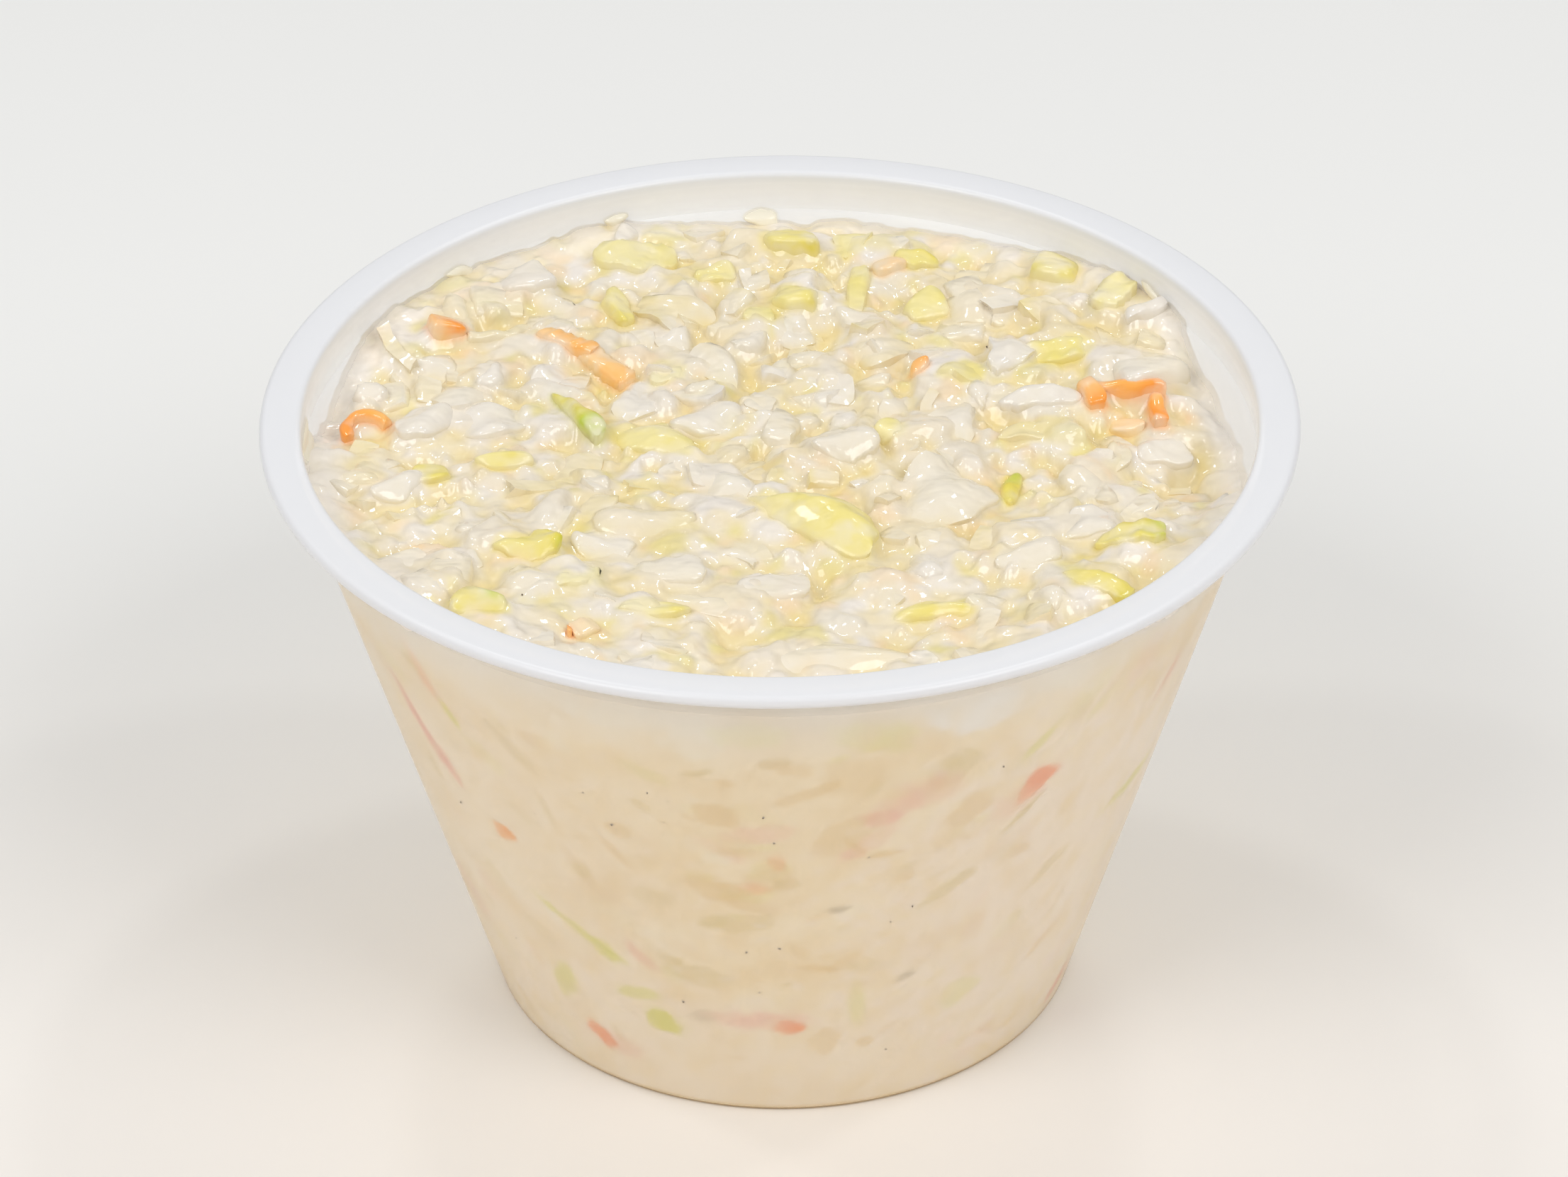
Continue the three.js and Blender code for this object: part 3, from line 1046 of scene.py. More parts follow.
        out[:, 2] -= self.root * (w < -0.1)
        return out, faces


@dataclass
class Laid:
    """A piece where it lies, and how far it stands clear of the dressing that it draws up."""

    piece: Piece
    points: Array
    faces: Array
    stand: float


@dataclass
class Heap:
    """The chopped pieces that lie on and in the salad's surface."""

    cup: PortionCup
    surface: Surface
    relief: "Relief"
    rng: np.random.Generator
    finishes: dict[Kind, WetFood]
    clearance: float = 0.3
    drift: float = 0.6
    apart: float = 0.36
    least_rise: float = 0.18
    bared: tuple[float, float] = (0.02, 0.7)
    stands: dict[Kind, float] = field(
        default_factory=lambda: {Kind.GREEN: 0.34, Kind.CARROT: 0.4, Kind.LEAF: 0.14}
    )
    laid: list[Laid] = field(default_factory=list)

    def scattered(self, spread: Spread) -> list[Piece]:
        """Places the loose pieces of one spread evenly, with a random drift.

        Args:
            spread: What to scatter.

        Returns:
            The pieces.
        """
        start = self.rng.uniform(0, 2 * math.pi)
        found = []
        for i in range(spread.count):
            small, large = spread.length
            length = small + (large - small) * self.rng.uniform() ** 1.6
            reach = float(self.cup.inner(self.surface.level)) - 0.4 - 0.4 * length
            angle = start + i * GOLDEN_ANGLE
            radius = reach * math.sqrt((i + 0.5) / spread.count)
            x = radius * math.cos(angle) + self.rng.uniform(-self.drift, self.drift)
            y = radius * math.sin(angle) + self.rng.uniform(-self.drift, self.drift)
            rough = float(self.surface.rough(y))
            found.append(
                Piece(
                    spread.kind,
                    spread.cut,
                    x,
                    y,
                    self.rng.uniform(0, 360),
                    length,
                    length * self.rng.uniform(*spread.ratio),
                    self.rng.uniform(*spread.thickness),
                    self.rng.uniform(*spread.lift) * (0.5 + 0.5 * rough),
                    self.rng.uniform(*spread.tint),
                    self.rng.uniform(0.4, 1.2),
                    0.14 + 0.2 * rough,
                )
            )
        return found

    def clear_of_features(self, piece: Piece) -> bool:
        """Whether a loose piece leaves the pieces that catch the eye in sight.

        Args:
            piece: The loose piece.

        Returns:
            True if it lies far enough from all of them.
        """
        return all(
            math.hypot(piece.x - other.x, piece.y - other.y) > self.apart * (other.length + piece.length)
            for other in FEATURES
        )

    def lay(self, piece: Piece, knife: Knife, fine: bool = False) -> None:
        """Lays one piece on the surface.

        Args:
            piece: The piece.
            knife: What cuts it.
            fine: Whether it is one that catches the eye.
        """
        points, faces = knife.shaped(piece, fine)
        lean = self.rng.uniform(-piece.tilt, piece.tilt, 2) * min(1, 4 / piece.length)
        points = turned(turned(points, 0, lean[0]), 1, lean[1])
        points = turned(points, 2, math.radians(piece.turn))
        level = self.relief.calm if fine else self.relief.height
        base = float(self.relief.sample(level, piece.x, piece.y))
        points += (piece.x, piece.y, base + piece.lift - piece.thickness / 2)
        stand = self.stands[piece.kind] if fine else 0.0
        self.laid.append(Laid(piece, self.kept_inside(points), faces, stand))

    def kept_inside(self, points: Array) -> Array:
        """Presses points that would cross the cup's wall flat against it.

        Args:
            points: Points in millimetres.

        Returns:
            The points, all inside the cup.
        """
        room = self.cup.inner(points[:, 2]) - self.clearance
        distance = np.hypot(points[:, 0], points[:, 1])
        share = np.minimum(1, room / np.maximum(distance, 1e-6))
        points[:, 0] *= share
        points[:, 1] *= share
        return points

    def fill(self) -> None:
        """Cuts and lays every piece."""
        knife = Knife(self.rng)
        for piece in FEATURES:
            self.lay(piece, knife, fine=True)
        for spread in SPREADS:
            for piece in self.scattered(spread):
                if self.clear_of_features(piece):
                    self.lay(piece, knife)

    def cover(self, parts: int = 5) -> tuple[Array, Array]:
        """Points spread densely over the faces of all pieces, as far up as dressing clings.

        Args:
            parts: Points along each side of a face.

        Returns:
            The points and their colours, each an N by 3 array.
        """
        a, b = np.meshgrid(np.linspace(0, 1, parts), np.linspace(0, 1, parts))
        weights = np.stack([(1 - a) * (1 - b), a * (1 - b), a * b, (1 - a) * b], -1).reshape(-1, 4)
        places, colours = [], []
        for laid in self.laid:
            spread = np.einsum("wc,fcd->fwd", weights, laid.points[laid.faces]).reshape(-1, 3)
            places.append(spread - (0, 0, laid.stand))
            colours.append(np.tile(self.finishes[laid.piece.kind].flesh(laid.piece.tint), (len(spread), 1)))
        return np.concatenate(places), np.concatenate(colours)

    def build(self, slots: dict[Kind, str]) -> list[bpy.types.Object]:
        """Joins the pieces of each kind that rise out of the dressing.

        Args:
            slots: The record's material slot of each kind; not used.

        Returns:
            The joined pieces.
        """
        made = []
        for kind in Kind:
            batches, faces, tints, offset = [], [], [], 0
            for laid in self.laid:
                if laid.piece.kind is kind and self.rise(laid.points).max() > self.least_rise:
                    batches.append(laid.points)
                    faces.append(laid.faces + offset)
                    tints.append(self.faded(laid))
                    offset += len(laid.points)
            points = np.concatenate(batches)
            joined = mesh_piece(kind.value, points, np.concatenate(faces).tolist())
            painted(joined, "tint", np.concatenate(tints))
            painted(joined, "bare", smooth_step(*self.bared, self.rise(points)))
            painted(joined, "soak", self.relief.sample(self.relief.colour, points[:, 0], points[:, 1]))
            smoothed(joined, 60)
            joined.data.materials.append(self.finishes[kind].material())
            made.append(joined)
        return made

    @staticmethod
    def faded(laid: Laid) -> Array:
        """The tint over a piece, fuller towards one end.

        Args:
            laid: The piece where it lies.

        Returns:
            A tint for each point.
        """
        piece, turn = laid.piece, math.radians(laid.piece.turn)
        across, back = laid.points[:, 0] - piece.x, laid.points[:, 1] - piece.y
        along = across * math.cos(turn) + back * math.sin(turn)
        return piece.tint * (1 + 0.7 * along / piece.length)

    def rise(self, points: Array) -> Array:
        """How far points stand above the dressing."""
        return points[:, 2] - self.relief.sample(self.relief.height, points[:, 0], points[:, 1])


# ---------------------------------------------------------------- the dressing's surface


@dataclass(frozen=True)
class Bits:
    """Fine bits pressed into the dressing: how many, how long, how high, and how deep."""

    count: int
    length: tuple[float, float]
    ratio: tuple[float, float]
    thickness: tuple[float, float]
    lift: tuple[float, float]


# Colours of the fine bits.
PALETTE = (
    linear(237, 230, 222),
    linear(237, 229, 217),
    linear(237, 227, 208),
    linear(240, 229, 202),
    linear(239, 225, 190),
    linear(236, 220, 172),
    linear(232, 219, 154),
    linear(240, 218, 184),
    linear(232, 224, 208),
)

# The fine bits from large to small, which is the order they are pressed in.
BITS = (
    Bits(700, (2.2, 5.0), (0.4, 0.9), (0.5, 1.3), (-0.7, 0.1)),
    Bits(1700, (1.0, 2.4), (0.4, 1.0), (0.4, 0.9), (-0.4, 0.25)),
    Bits(3200, (0.4, 1.1), (0.5, 1.0), (0.2, 0.5), (-0.2, 0.35)),
)


@dataclass
class Relief:
    """The top of the salad as a fine field of heights and colours: bits, pieces and dressing."""

    surface: Surface
    rng: np.random.Generator
    cell: float = 0.16
    reach: float = 35.2
    bits_reach: float = 34.5
    sunk: float = 0.8
    pooled: float = 0.8
    clinging: float = 0.38
    broad: float = 1.5
    ripple: float = 0.035
    # Painted shade: the colour that the hollows are multiplied by.
    shade: Colour = (0.97, 0.91, 0.66)
    x: Array = field(init=False)
    y: Array = field(init=False)
    height: Array = field(init=False)
    calm: Array = field(init=False)
    colour: Array = field(init=False)

    def __post_init__(self) -> None:
        """Starts from the broad surface."""
        lines = np.arange(-self.reach, self.reach + self.cell, self.cell)
        self.x, self.y = np.meshgrid(lines, lines, indexing="ij")
        self.height = self.surface.height(self.x, self.y) - self.sunk
        self.colour = np.tile(np.array(FILM), (*self.x.shape, 1))

    def blurred(self, values: Array, width: float) -> Array:
        """Softens a field.

        Args:
            values: The field.
            width: The softening's standard deviation in millimetres.

        Returns:
            The softened field.
        """
        reach = int(3 * width / self.cell) + 1
        kernel = np.exp(-0.5 * (np.arange(-reach, reach + 1) * self.cell / width) ** 2)
        kernel /= kernel.sum()
        pad = np.pad(values, reach, mode="edge")
        rows = sum(k * pad[i : i + values.shape[0], :] for i, k in enumerate(kernel))
        return sum(k * rows[:, i : i + values.shape[1]] for i, k in enumerate(kernel))

    def sample(self, values: Array, x: Array, y: Array) -> Array:
        """Reads a field between its grid lines.

        Args:
            values: The field, of numbers or colours.
            x: Millimetres along X.
            y: Millimetres along Y.

        Returns:
            The values at the places.
        """
        last = values.shape[0] - 2
        u = np.clip((np.asarray(x) + self.reach) / self.cell, 0, last)
        v = np.clip((np.asarray(y) + self.reach) / self.cell, 0, last)
        i, j = u.astype(int), v.astype(int)
        a, b = u - i, v - j
        if values.ndim == 3:
            a, b = a[..., None], b[..., None]
        low = values[i, j] * (1 - a) + values[i + 1, j] * a
        high = values[i, j + 1] * (1 - a) + values[i + 1, j + 1] * a
        return low * (1 - b) + high * b

    def window(self, middle: float, half: float) -> slice:
        """The grid lines within a distance of a coordinate.

        Args:
            middle: The coordinate in millimetres.
            half: The distance in millimetres.

        Returns:
            The lines.
        """
        first = int((middle - half + self.reach) / self.cell)
        last = int((middle + half + self.reach) / self.cell) + 2
        return slice(max(first, 0), min(last, len(self.x)))

    def press(self, bits: Bits) -> None:
        """Presses fine bits of cabbage into the surface.

        Args:
            bits: What to press.
        """
        draw = self.rng.uniform
        for _ in range(bits.count):
            radius, around = self.bits_reach * math.sqrt(draw()), draw(0, 2 * math.pi)
            x, y = radius * math.cos(around), radius * math.sin(around)
            length, turn = draw(*bits.length), draw(0, math.pi)
            width, thickness = length * draw(*bits.ratio), draw(*bits.thickness)
            lean = draw(-0.3, 0.3, 2) * (0.4 + 0.6 * float(self.surface.rough(y)))
            level = float(self.surface.height(x, y)) + draw(*bits.lift)
            waves = draw(0, 6, 2)
            colour = np.array(PALETTE[self.rng.integers(len(PALETTE))])
            here = self.window(x, 0.62 * length), self.window(y, 0.62 * length)
            dx, dy = self.x[here] - x, self.y[here] - y
            s = math.cos(turn) * dx + math.sin(turn) * dy
            t = math.cos(turn) * dy - math.sin(turn) * dx
            angle = np.arctan2(t, s)
            ragged = 1 + 0.12 * np.sin(3 * angle + waves[0]) + 0.07 * np.sin(5 * angle + waves[1])
            out = (np.abs(2 * s / length) ** 3 + np.abs(2 * t / width) ** 3) ** (1 / 3) / ragged
            top = level + lean[0] * s + lean[1] * t + thickness * np.sqrt(np.clip(1 - out**4, 0, 1))
            seen = (out < 1) & (top > self.height[here])
            self.height[here][seen] = top[seen]
            self.colour[here][seen] = colour

    def flooded(self, solid: Array, width: float, below: Array, soft: float = 0.07) -> Array:
        """Height of the solid with dressing that rises round it.

        Args:
            solid: Height of what lies in the dressing.
            width: How far the dressing is drawn out, in millimetres.
            below: How far it stands under the softened height.
            soft: How gently it meets what rises out of it.

        Returns:
            The height.
        """
        dressing = self.blurred(solid, width) - below
        return soft * np.logaddexp(self.blurred(self.height, 0.1) / soft, dressing / soft)

    def soak(self) -> None:
        """Presses the fine bits in, lets the dressing rise round them and colours the result."""
        for bits in BITS:
            self.press(bits)
        solid, below = self.height, 0.12 + 0.2 * self.surface.rough(self.y)
        self.height = self.flooded(solid, self.pooled, below)
        self.calm = self.blurred(self.height, self.broad)
        bare = 0.3 + 0.7 * smooth_step(-0.25, 0.25, solid - self.blurred(solid, self.pooled) + below)
        for channel, film in enumerate(FILM):
            own = self.colour[..., channel]
            self.colour[..., channel] = self.blurred(film + bare * (own - film), 0.2)

    def settle(self, tops: Array, colours: Array) -> None:
        """Lets the dressing cling to the pieces and show them where it is thin, then paints shade into the
        hollows and light onto the crests.

        Args:
            tops: Points spread over the pieces.
            colours: The pieces' colour at each point.
        """
        order = np.argsort(tops[:, 2])
        i = np.rint((tops[order, 0] + self.reach) / self.cell).astype(int)
        j = np.rint((tops[order, 1] + self.reach) / self.cell).astype(int)
        filled, under = self.height.copy(), self.colour.copy()
        np.maximum.at(filled, (i, j), tops[order, 2])
        under[i, j] = colours[order]
        self.height = self.flooded(filled, self.clinging, -0.03 + 0.1 * self.surface.rough(self.y), 0.09)
        ripples = self.blurred(self.rng.normal(size=self.x.shape), 0.28)
        self.height += self.ripple * ripples / ripples.std()
        through = 0.8 * np.exp(-np.maximum(self.height - filled, 0) / 0.3)[..., None]
        self.colour += through * (under - self.colour)
        # Painted shade in the hollows and painted light on the crests, by height against the softened
        # height.
        above = self.height - self.blurred(self.height, self.broad)
        hollow, lit_crest = smooth_step(0.02, 0.5, -above), smooth_step(0.0, 0.5, above)
        for channel, (shade, light) in enumerate(zip(self.shade, CREST_LIGHT)):
            own = self.colour[..., channel] * (1 - hollow * (1 - shade))
            self.colour[..., channel] = self.blurred(own + 0.4 * lit_crest * (light - own), 0.15)


# Height of the salad's edge along the wall, by degrees round the cup.
WALL_LINE = {
    -180: 42.6, -165: 42.7, -148: 43.2, -130: 43.7, -90: 43.8, -55: 43.7, -38: 43.1, -22: 42.1,
    -8: 40.9, 4: 40.2, 14: 40.2, 23: 41.3, 32: 43.2, 45: 43.4, 62: 42.4, 90: 42.0,
    104: 42.5, 112: 43.3, 122: 42.8, 132: 43.3, 150: 43.4, 160: 42.2, 168: 41.3,
}  # fmt: skip


@dataclass
class SaladTop:
    """The relief as a closed sheet that runs into the cup's wall, to just under its outer skin."""

    cup: PortionCup
    relief: Relief
    lines: int = 306
    edge_start: float = 30.6
    edge_reach: float = 33.2
    film_start: float = 30.4
    film_reach: float = 32.6
    skirt: float = 1.5
    underside: float = 38.6
    gap: float = 0.4
    soft: Array = field(init=False)

    def __post_init__(self) -> None:
        """Keeps the softened relief, which is what follows the line along the wall."""
        self.soft = self.relief.blurred(self.relief.height, self.relief.broad)

    def height(self, x: Array, y: Array) -> Array:
        """Height of the sheet: the relief, drawn up or down to its line along the wall.

        Args:
            x: Millimetres along X.
            y: Millimetres along Y.

        Returns:
            Millimetres above the table.
        """
        radius = np.hypot(x, y)
        short = np.minimum(1, self.edge_reach / np.maximum(radius, 1e-6))
        own = self.relief.sample(self.relief.height, x * short, y * short)
        soft = self.relief.sample(self.soft, x * short, y * short)
        around = np.degrees(np.arctan2(y, x))
        line = np.interp(around, list(WALL_LINE), list(WALL_LINE.values()), period=360)
        share = smooth_step(self.edge_start, self.edge_reach, radius)
        return soft + share * (line - soft) + (1 - 0.6 * share) * (own - soft)

    def edge(self, angle: Array) -> Array:
        """Height of the sheet where it meets the wall, at angles in radians."""
        return self.height(self.edge_reach * np.cos(angle), self.edge_reach * np.sin(angle))

    def film(self, x: Array, y: Array) -> Array:
        """How much whitish film lies on the sheet's edge: thin behind, thicker at the sides and in front.

        Args:
            x: Millimetres along X.
            y: Millimetres along Y.

        Returns:
            The film's share of the colour.
        """
        radius = np.hypot(x, y)
        behind = smooth_step(0.3, 0.7, y / np.maximum(radius, 1.0))
        return (0.85 - 0.6 * behind) * smooth_step(self.film_start, self.film_reach, radius)

    def build(self) -> bpy.types.Object:
        """Builds the sheet on a square grid drawn out to a disc.

        Returns:
            The sheet.
        """
        n = self.lines
        steps = np.linspace(-1, 1, n)
        u, v = np.meshgrid(steps, steps, indexing="ij")
        x, y = u * np.sqrt(1 - v * v / 2), v * np.sqrt(1 - u * u / 2)
        radius = self.cup.within(self.edge(np.arctan2(y, x)))
        x, y = x * radius, y * radius
        z = self.height(x, y)
        stain = self.relief.sample(self.relief.colour, x, y)
        stain = (stain + self.film(x, y)[..., None] * (np.array(EDGE_FILM) - stain)).reshape(-1, 3)
        number = np.arange(n * n).reshape(n, n)
        corners = [number[:-1, :-1], number[1:, :-1], number[1:, 1:], number[:-1, 1:]]
        faces = np.stack(corners, -1).reshape(-1, 4)
        border = np.concatenate([number[:-1, 0], number[-1, :-1], number[:0:-1, -1], number[0, :0:-1]])
        top = np.stack([x.ravel(), y.ravel(), z.ravel()], -1)
        below = top[border].copy()
        below[:, 2] = np.minimum(below[:, 2] - self.skirt, self.underside)
        reach = self.cup.within(below[:, 2]) - self.gap
        below[:, :2] *= (reach / np.hypot(below[:, 0], below[:, 1]))[:, None]
        points = np.concatenate([top, below, [[0, 0, below[:, 2].min() - 0.6]]])
        first, middle = len(top), len(points) - 1
        under = first + np.arange(len(border))
        skirt = np.stack([np.roll(border, -1), border, under, np.roll(under, -1)], -1)
        fan = np.stack([np.full(len(border), middle), np.roll(under, -1), under], -1)
        piece = mesh_piece("salad_top", points, [*faces.tolist(), *skirt.tolist(), *fan.tolist()])
        painted(piece, "stain", np.concatenate([stain, stain[border], [FILM]]))
        smoothed(piece, 80)
        piece.data.materials.append(CreamDressing("wet_surface", 800, 0.0003).material())
        return piece


# ---------------------------------------------------------------- the body behind the wall


@dataclass(frozen=True)
class Stain:
    """A piece pressed against the wall, or a broad patch of painted light on it: degrees round the cup,
    height, size, slant and colour.

    Strength is how much of its colour shows, and blur how many millimetres its edge takes to fade.
    """

    around: float
    height: float
    length: float
    width: float
    slant: float
    colour: Colour
    strength: float
    blur: float


ORANGE = linear(255, 150, 30)
YOLK = linear(255, 172, 0)
ROSE = linear(244, 158, 126)
AMBER = linear(236, 200, 112)
OLIVE = linear(222, 196, 92)
BARK = linear(170, 148, 84)
LEAFY = linear(230, 224, 62)
CREAM = linear(252, 242, 214)
MILK = linear(251, 247, 238)
# Painted light, for the broad pale patches that light up the wall.
PAINTED_LIGHT_CREAM = linear(254, 240, 224)

# What shows through the wall in front and round the sides, after three broad patches of painted light.
WALL_MARKS = (
    # Broad painted light, not pieces: the right and the left of the front wall, and low in front.
    Stain(-40, 20, 36, 34, 0, PAINTED_LIGHT_CREAM, 0.75, 14),
    Stain(-142, 22, 34, 36, 0, PAINTED_LIGHT_CREAM, 0.35, 14),
    Stain(-95, 5, 50, 15, 0, PAINTED_LIGHT_CREAM, 0.5, 6),
    Stain(-108, 41.4, 9, 2.6, 2, CREAM, 0.7, 0.8),
    Stain(-100.7, 39.8, 4.4, 3.4, 10, CREAM, 0.9, 0.8),
    Stain(-66, 40.9, 7.5, 3.6, -5, MILK, 0.95, 0.9),
    Stain(-52, 41.2, 6, 2.4, 0, CREAM, 0.6, 0.9),
    Stain(-94, 40.8, 5, 2.6, 0, LEAFY, 0.4, 0.8),
    Stain(-79, 40.2, 6, 3.0, -12, LEAFY, 0.45, 0.9),
    Stain(-81.3, 36.4, 4.4, 4, 0, AMBER, 0.35, 1.2),
    Stain(-133.6, 24.3, 1.9, 1.6, 0, YOLK, 1.0, 0.25),
    Stain(-124.5, 16.8, 6.4, 0.9, -32, LEAFY, 0.75, 0.4),
    Stain(-119.6, 15.3, 2.8, 1.7, -35, LEAFY, 0.8, 0.5),
    Stain(-130.5, 9.8, 3.6, 2.2, 70, LEAFY, 0.65, 0.7),
    Stain(-115, 11.3, 3.4, 1.4, 5, LEAFY, 0.6, 0.5),
    Stain(-111.3, 8.8, 2.6, 2.6, 20, LEAFY, 0.95, 0.6),
    Stain(-125.3, 4.9, 2.8, 1.5, -55, ORANGE, 0.95, 0.4),
    Stain(-122, 4.6, 4.2, 2.4, 0, ROSE, 0.25, 1.0),
    Stain(-98.5, 32.4, 3.4, 2.4, -10, AMBER, 0.55, 0.5),
    Stain(-112.5, 29.3, 2.6, 1.5, 0, AMBER, 0.5, 0.5),
    Stain(-113.3, 26.6, 3.2, 0.8, -50, AMBER, 0.5, 0.4),
    Stain(-97.3, 35.7, 1.6, 0.9, 0, AMBER, 0.5, 0.4),
    Stain(-100.5, 36.6, 2.2, 0.6, 20, OLIVE, 0.55, 0.3),
    Stain(-119.9, 23.5, 1.5, 1.3, 0, OLIVE, 0.45, 0.4),
    Stain(-117.7, 21.7, 4, 3, 0, AMBER, 0.22, 0.8),
    Stain(-109, 22.7, 3, 1.7, 0, OLIVE, 0.3, 0.6),
    Stain(-99.4, 24.5, 4.8, 2, -20, AMBER, 0.65, 0.5),
    Stain(-93.8, 24.7, 1.9, 1.1, -10, ORANGE, 0.45, 0.5),
    Stain(-90.9, 27.6, 1.2, 1.8, 20, ORANGE, 0.4, 0.5),
    Stain(-91.6, 26.0, 3.6, 3.2, 40, AMBER, 0.4, 0.9),
    Stain(-100.4, 20.9, 2, 1.5, 0, OLIVE, 0.55, 0.5),
    Stain(-112.8, 15.6, 2.8, 1.0, -50, ROSE, 0.4, 0.5),
    Stain(-103.8, 10.1, 2, 1.3, 0, BARK, 0.25, 0.6),
    Stain(-146, 31, 8, 1.4, -62, ROSE, 0.7, 0.5),
    Stain(-142, 28.4, 4, 1.1, -62, ROSE, 0.6, 0.4),
    Stain(-140, 38.0, 5, 1.2, -70, ORANGE, 0.35, 0.7),
    Stain(-136.8, 35, 2.6, 0.8, -55, LEAFY, 0.7, 0.4),
    Stain(-54.7, 31.1, 4.2, 2.1, 42, ORANGE, 0.95, 0.4),
    Stain(-56, 30.6, 6, 3, 42, ROSE, 0.25, 1.2),
    Stain(-56.2, 28.1, 3.4, 0.7, 45, OLIVE, 0.5, 0.3),
    Stain(-71.9, 33.4, 5.4, 2.8, 15, ROSE, 0.4, 1.2),
    Stain(-64.8, 30.7, 4.2, 2.6, 40, AMBER, 0.5, 0.6),
    Stain(-77.2, 31.6, 2.6, 1.5, -10, ROSE, 0.5, 0.6),
    Stain(-80.3, 28.8, 2.9, 0.6, -50, AMBER, 0.6, 0.3),
    Stain(-76.4, 27.7, 2.6, 0.7, 0, AMBER, 0.65, 0.3),
    Stain(-54.7, 24.1, 2, 1.2, 0, AMBER, 0.4, 0.4),
    Stain(-73.1, 24.9, 1.6, 1.2, 20, AMBER, 0.6, 0.4),
    Stain(-65.6, 22.7, 4.6, 1.2, 35, OLIVE, 0.5, 0.4),
    Stain(-46.9, 20.5, 4.6, 1.2, 40, OLIVE, 0.4, 0.4),
    Stain(-29.5, 23.3, 6.4, 1.4, 8, LEAFY, 0.6, 0.5),
    Stain(-56, 35.5, 3.6, 0.9, 45, LEAFY, 0.5, 0.4),
    Stain(-82, 22.3, 1.7, 0.6, 0, BARK, 0.7, 0.25),
    Stain(-70.4, 13.8, 1.5, 0.7, 30, BARK, 0.6, 0.25),
    Stain(-84.7, 15.9, 2.8, 0.9, -15, AMBER, 0.6, 0.3),
    Stain(-88, 18, 2.2, 1.1, -45, AMBER, 0.35, 0.4),
    Stain(-77.9, 11.3, 5, 1.2, 95, LEAFY, 0.4, 0.5),
    Stain(-59.6, 10.2, 3, 2.6, 0, LEAFY, 0.35, 0.6),
    Stain(-88.8, 9.4, 2.3, 1.4, -5, ORANGE, 0.95, 0.4),
    Stain(-94.4, 10.2, 6, 1.8, 0, ROSE, 0.45, 1.0),
    Stain(-83.5, 7.7, 2.2, 2.6, 0, AMBER, 0.5, 0.6),
    Stain(-75.9, 7.1, 1.2, 1.1, 0, AMBER, 0.55, 0.3),
    Stain(-60.7, 17.2, 3, 3, 0, AMBER, 0.22, 0.6),
    Stain(-40.7, 11.6, 4, 1.1, 35, AMBER, 0.35, 0.4),
    Stain(-91.2, 37.9, 2.4, 0.9, 0, AMBER, 0.5, 0.4),
    Stain(-24, 2.6, 4, 1.6, 30, ROSE, 0.8, 0.5),
    Stain(-30, 34, 3.4, 1.1, 60, ROSE, 0.5, 0.5),
)


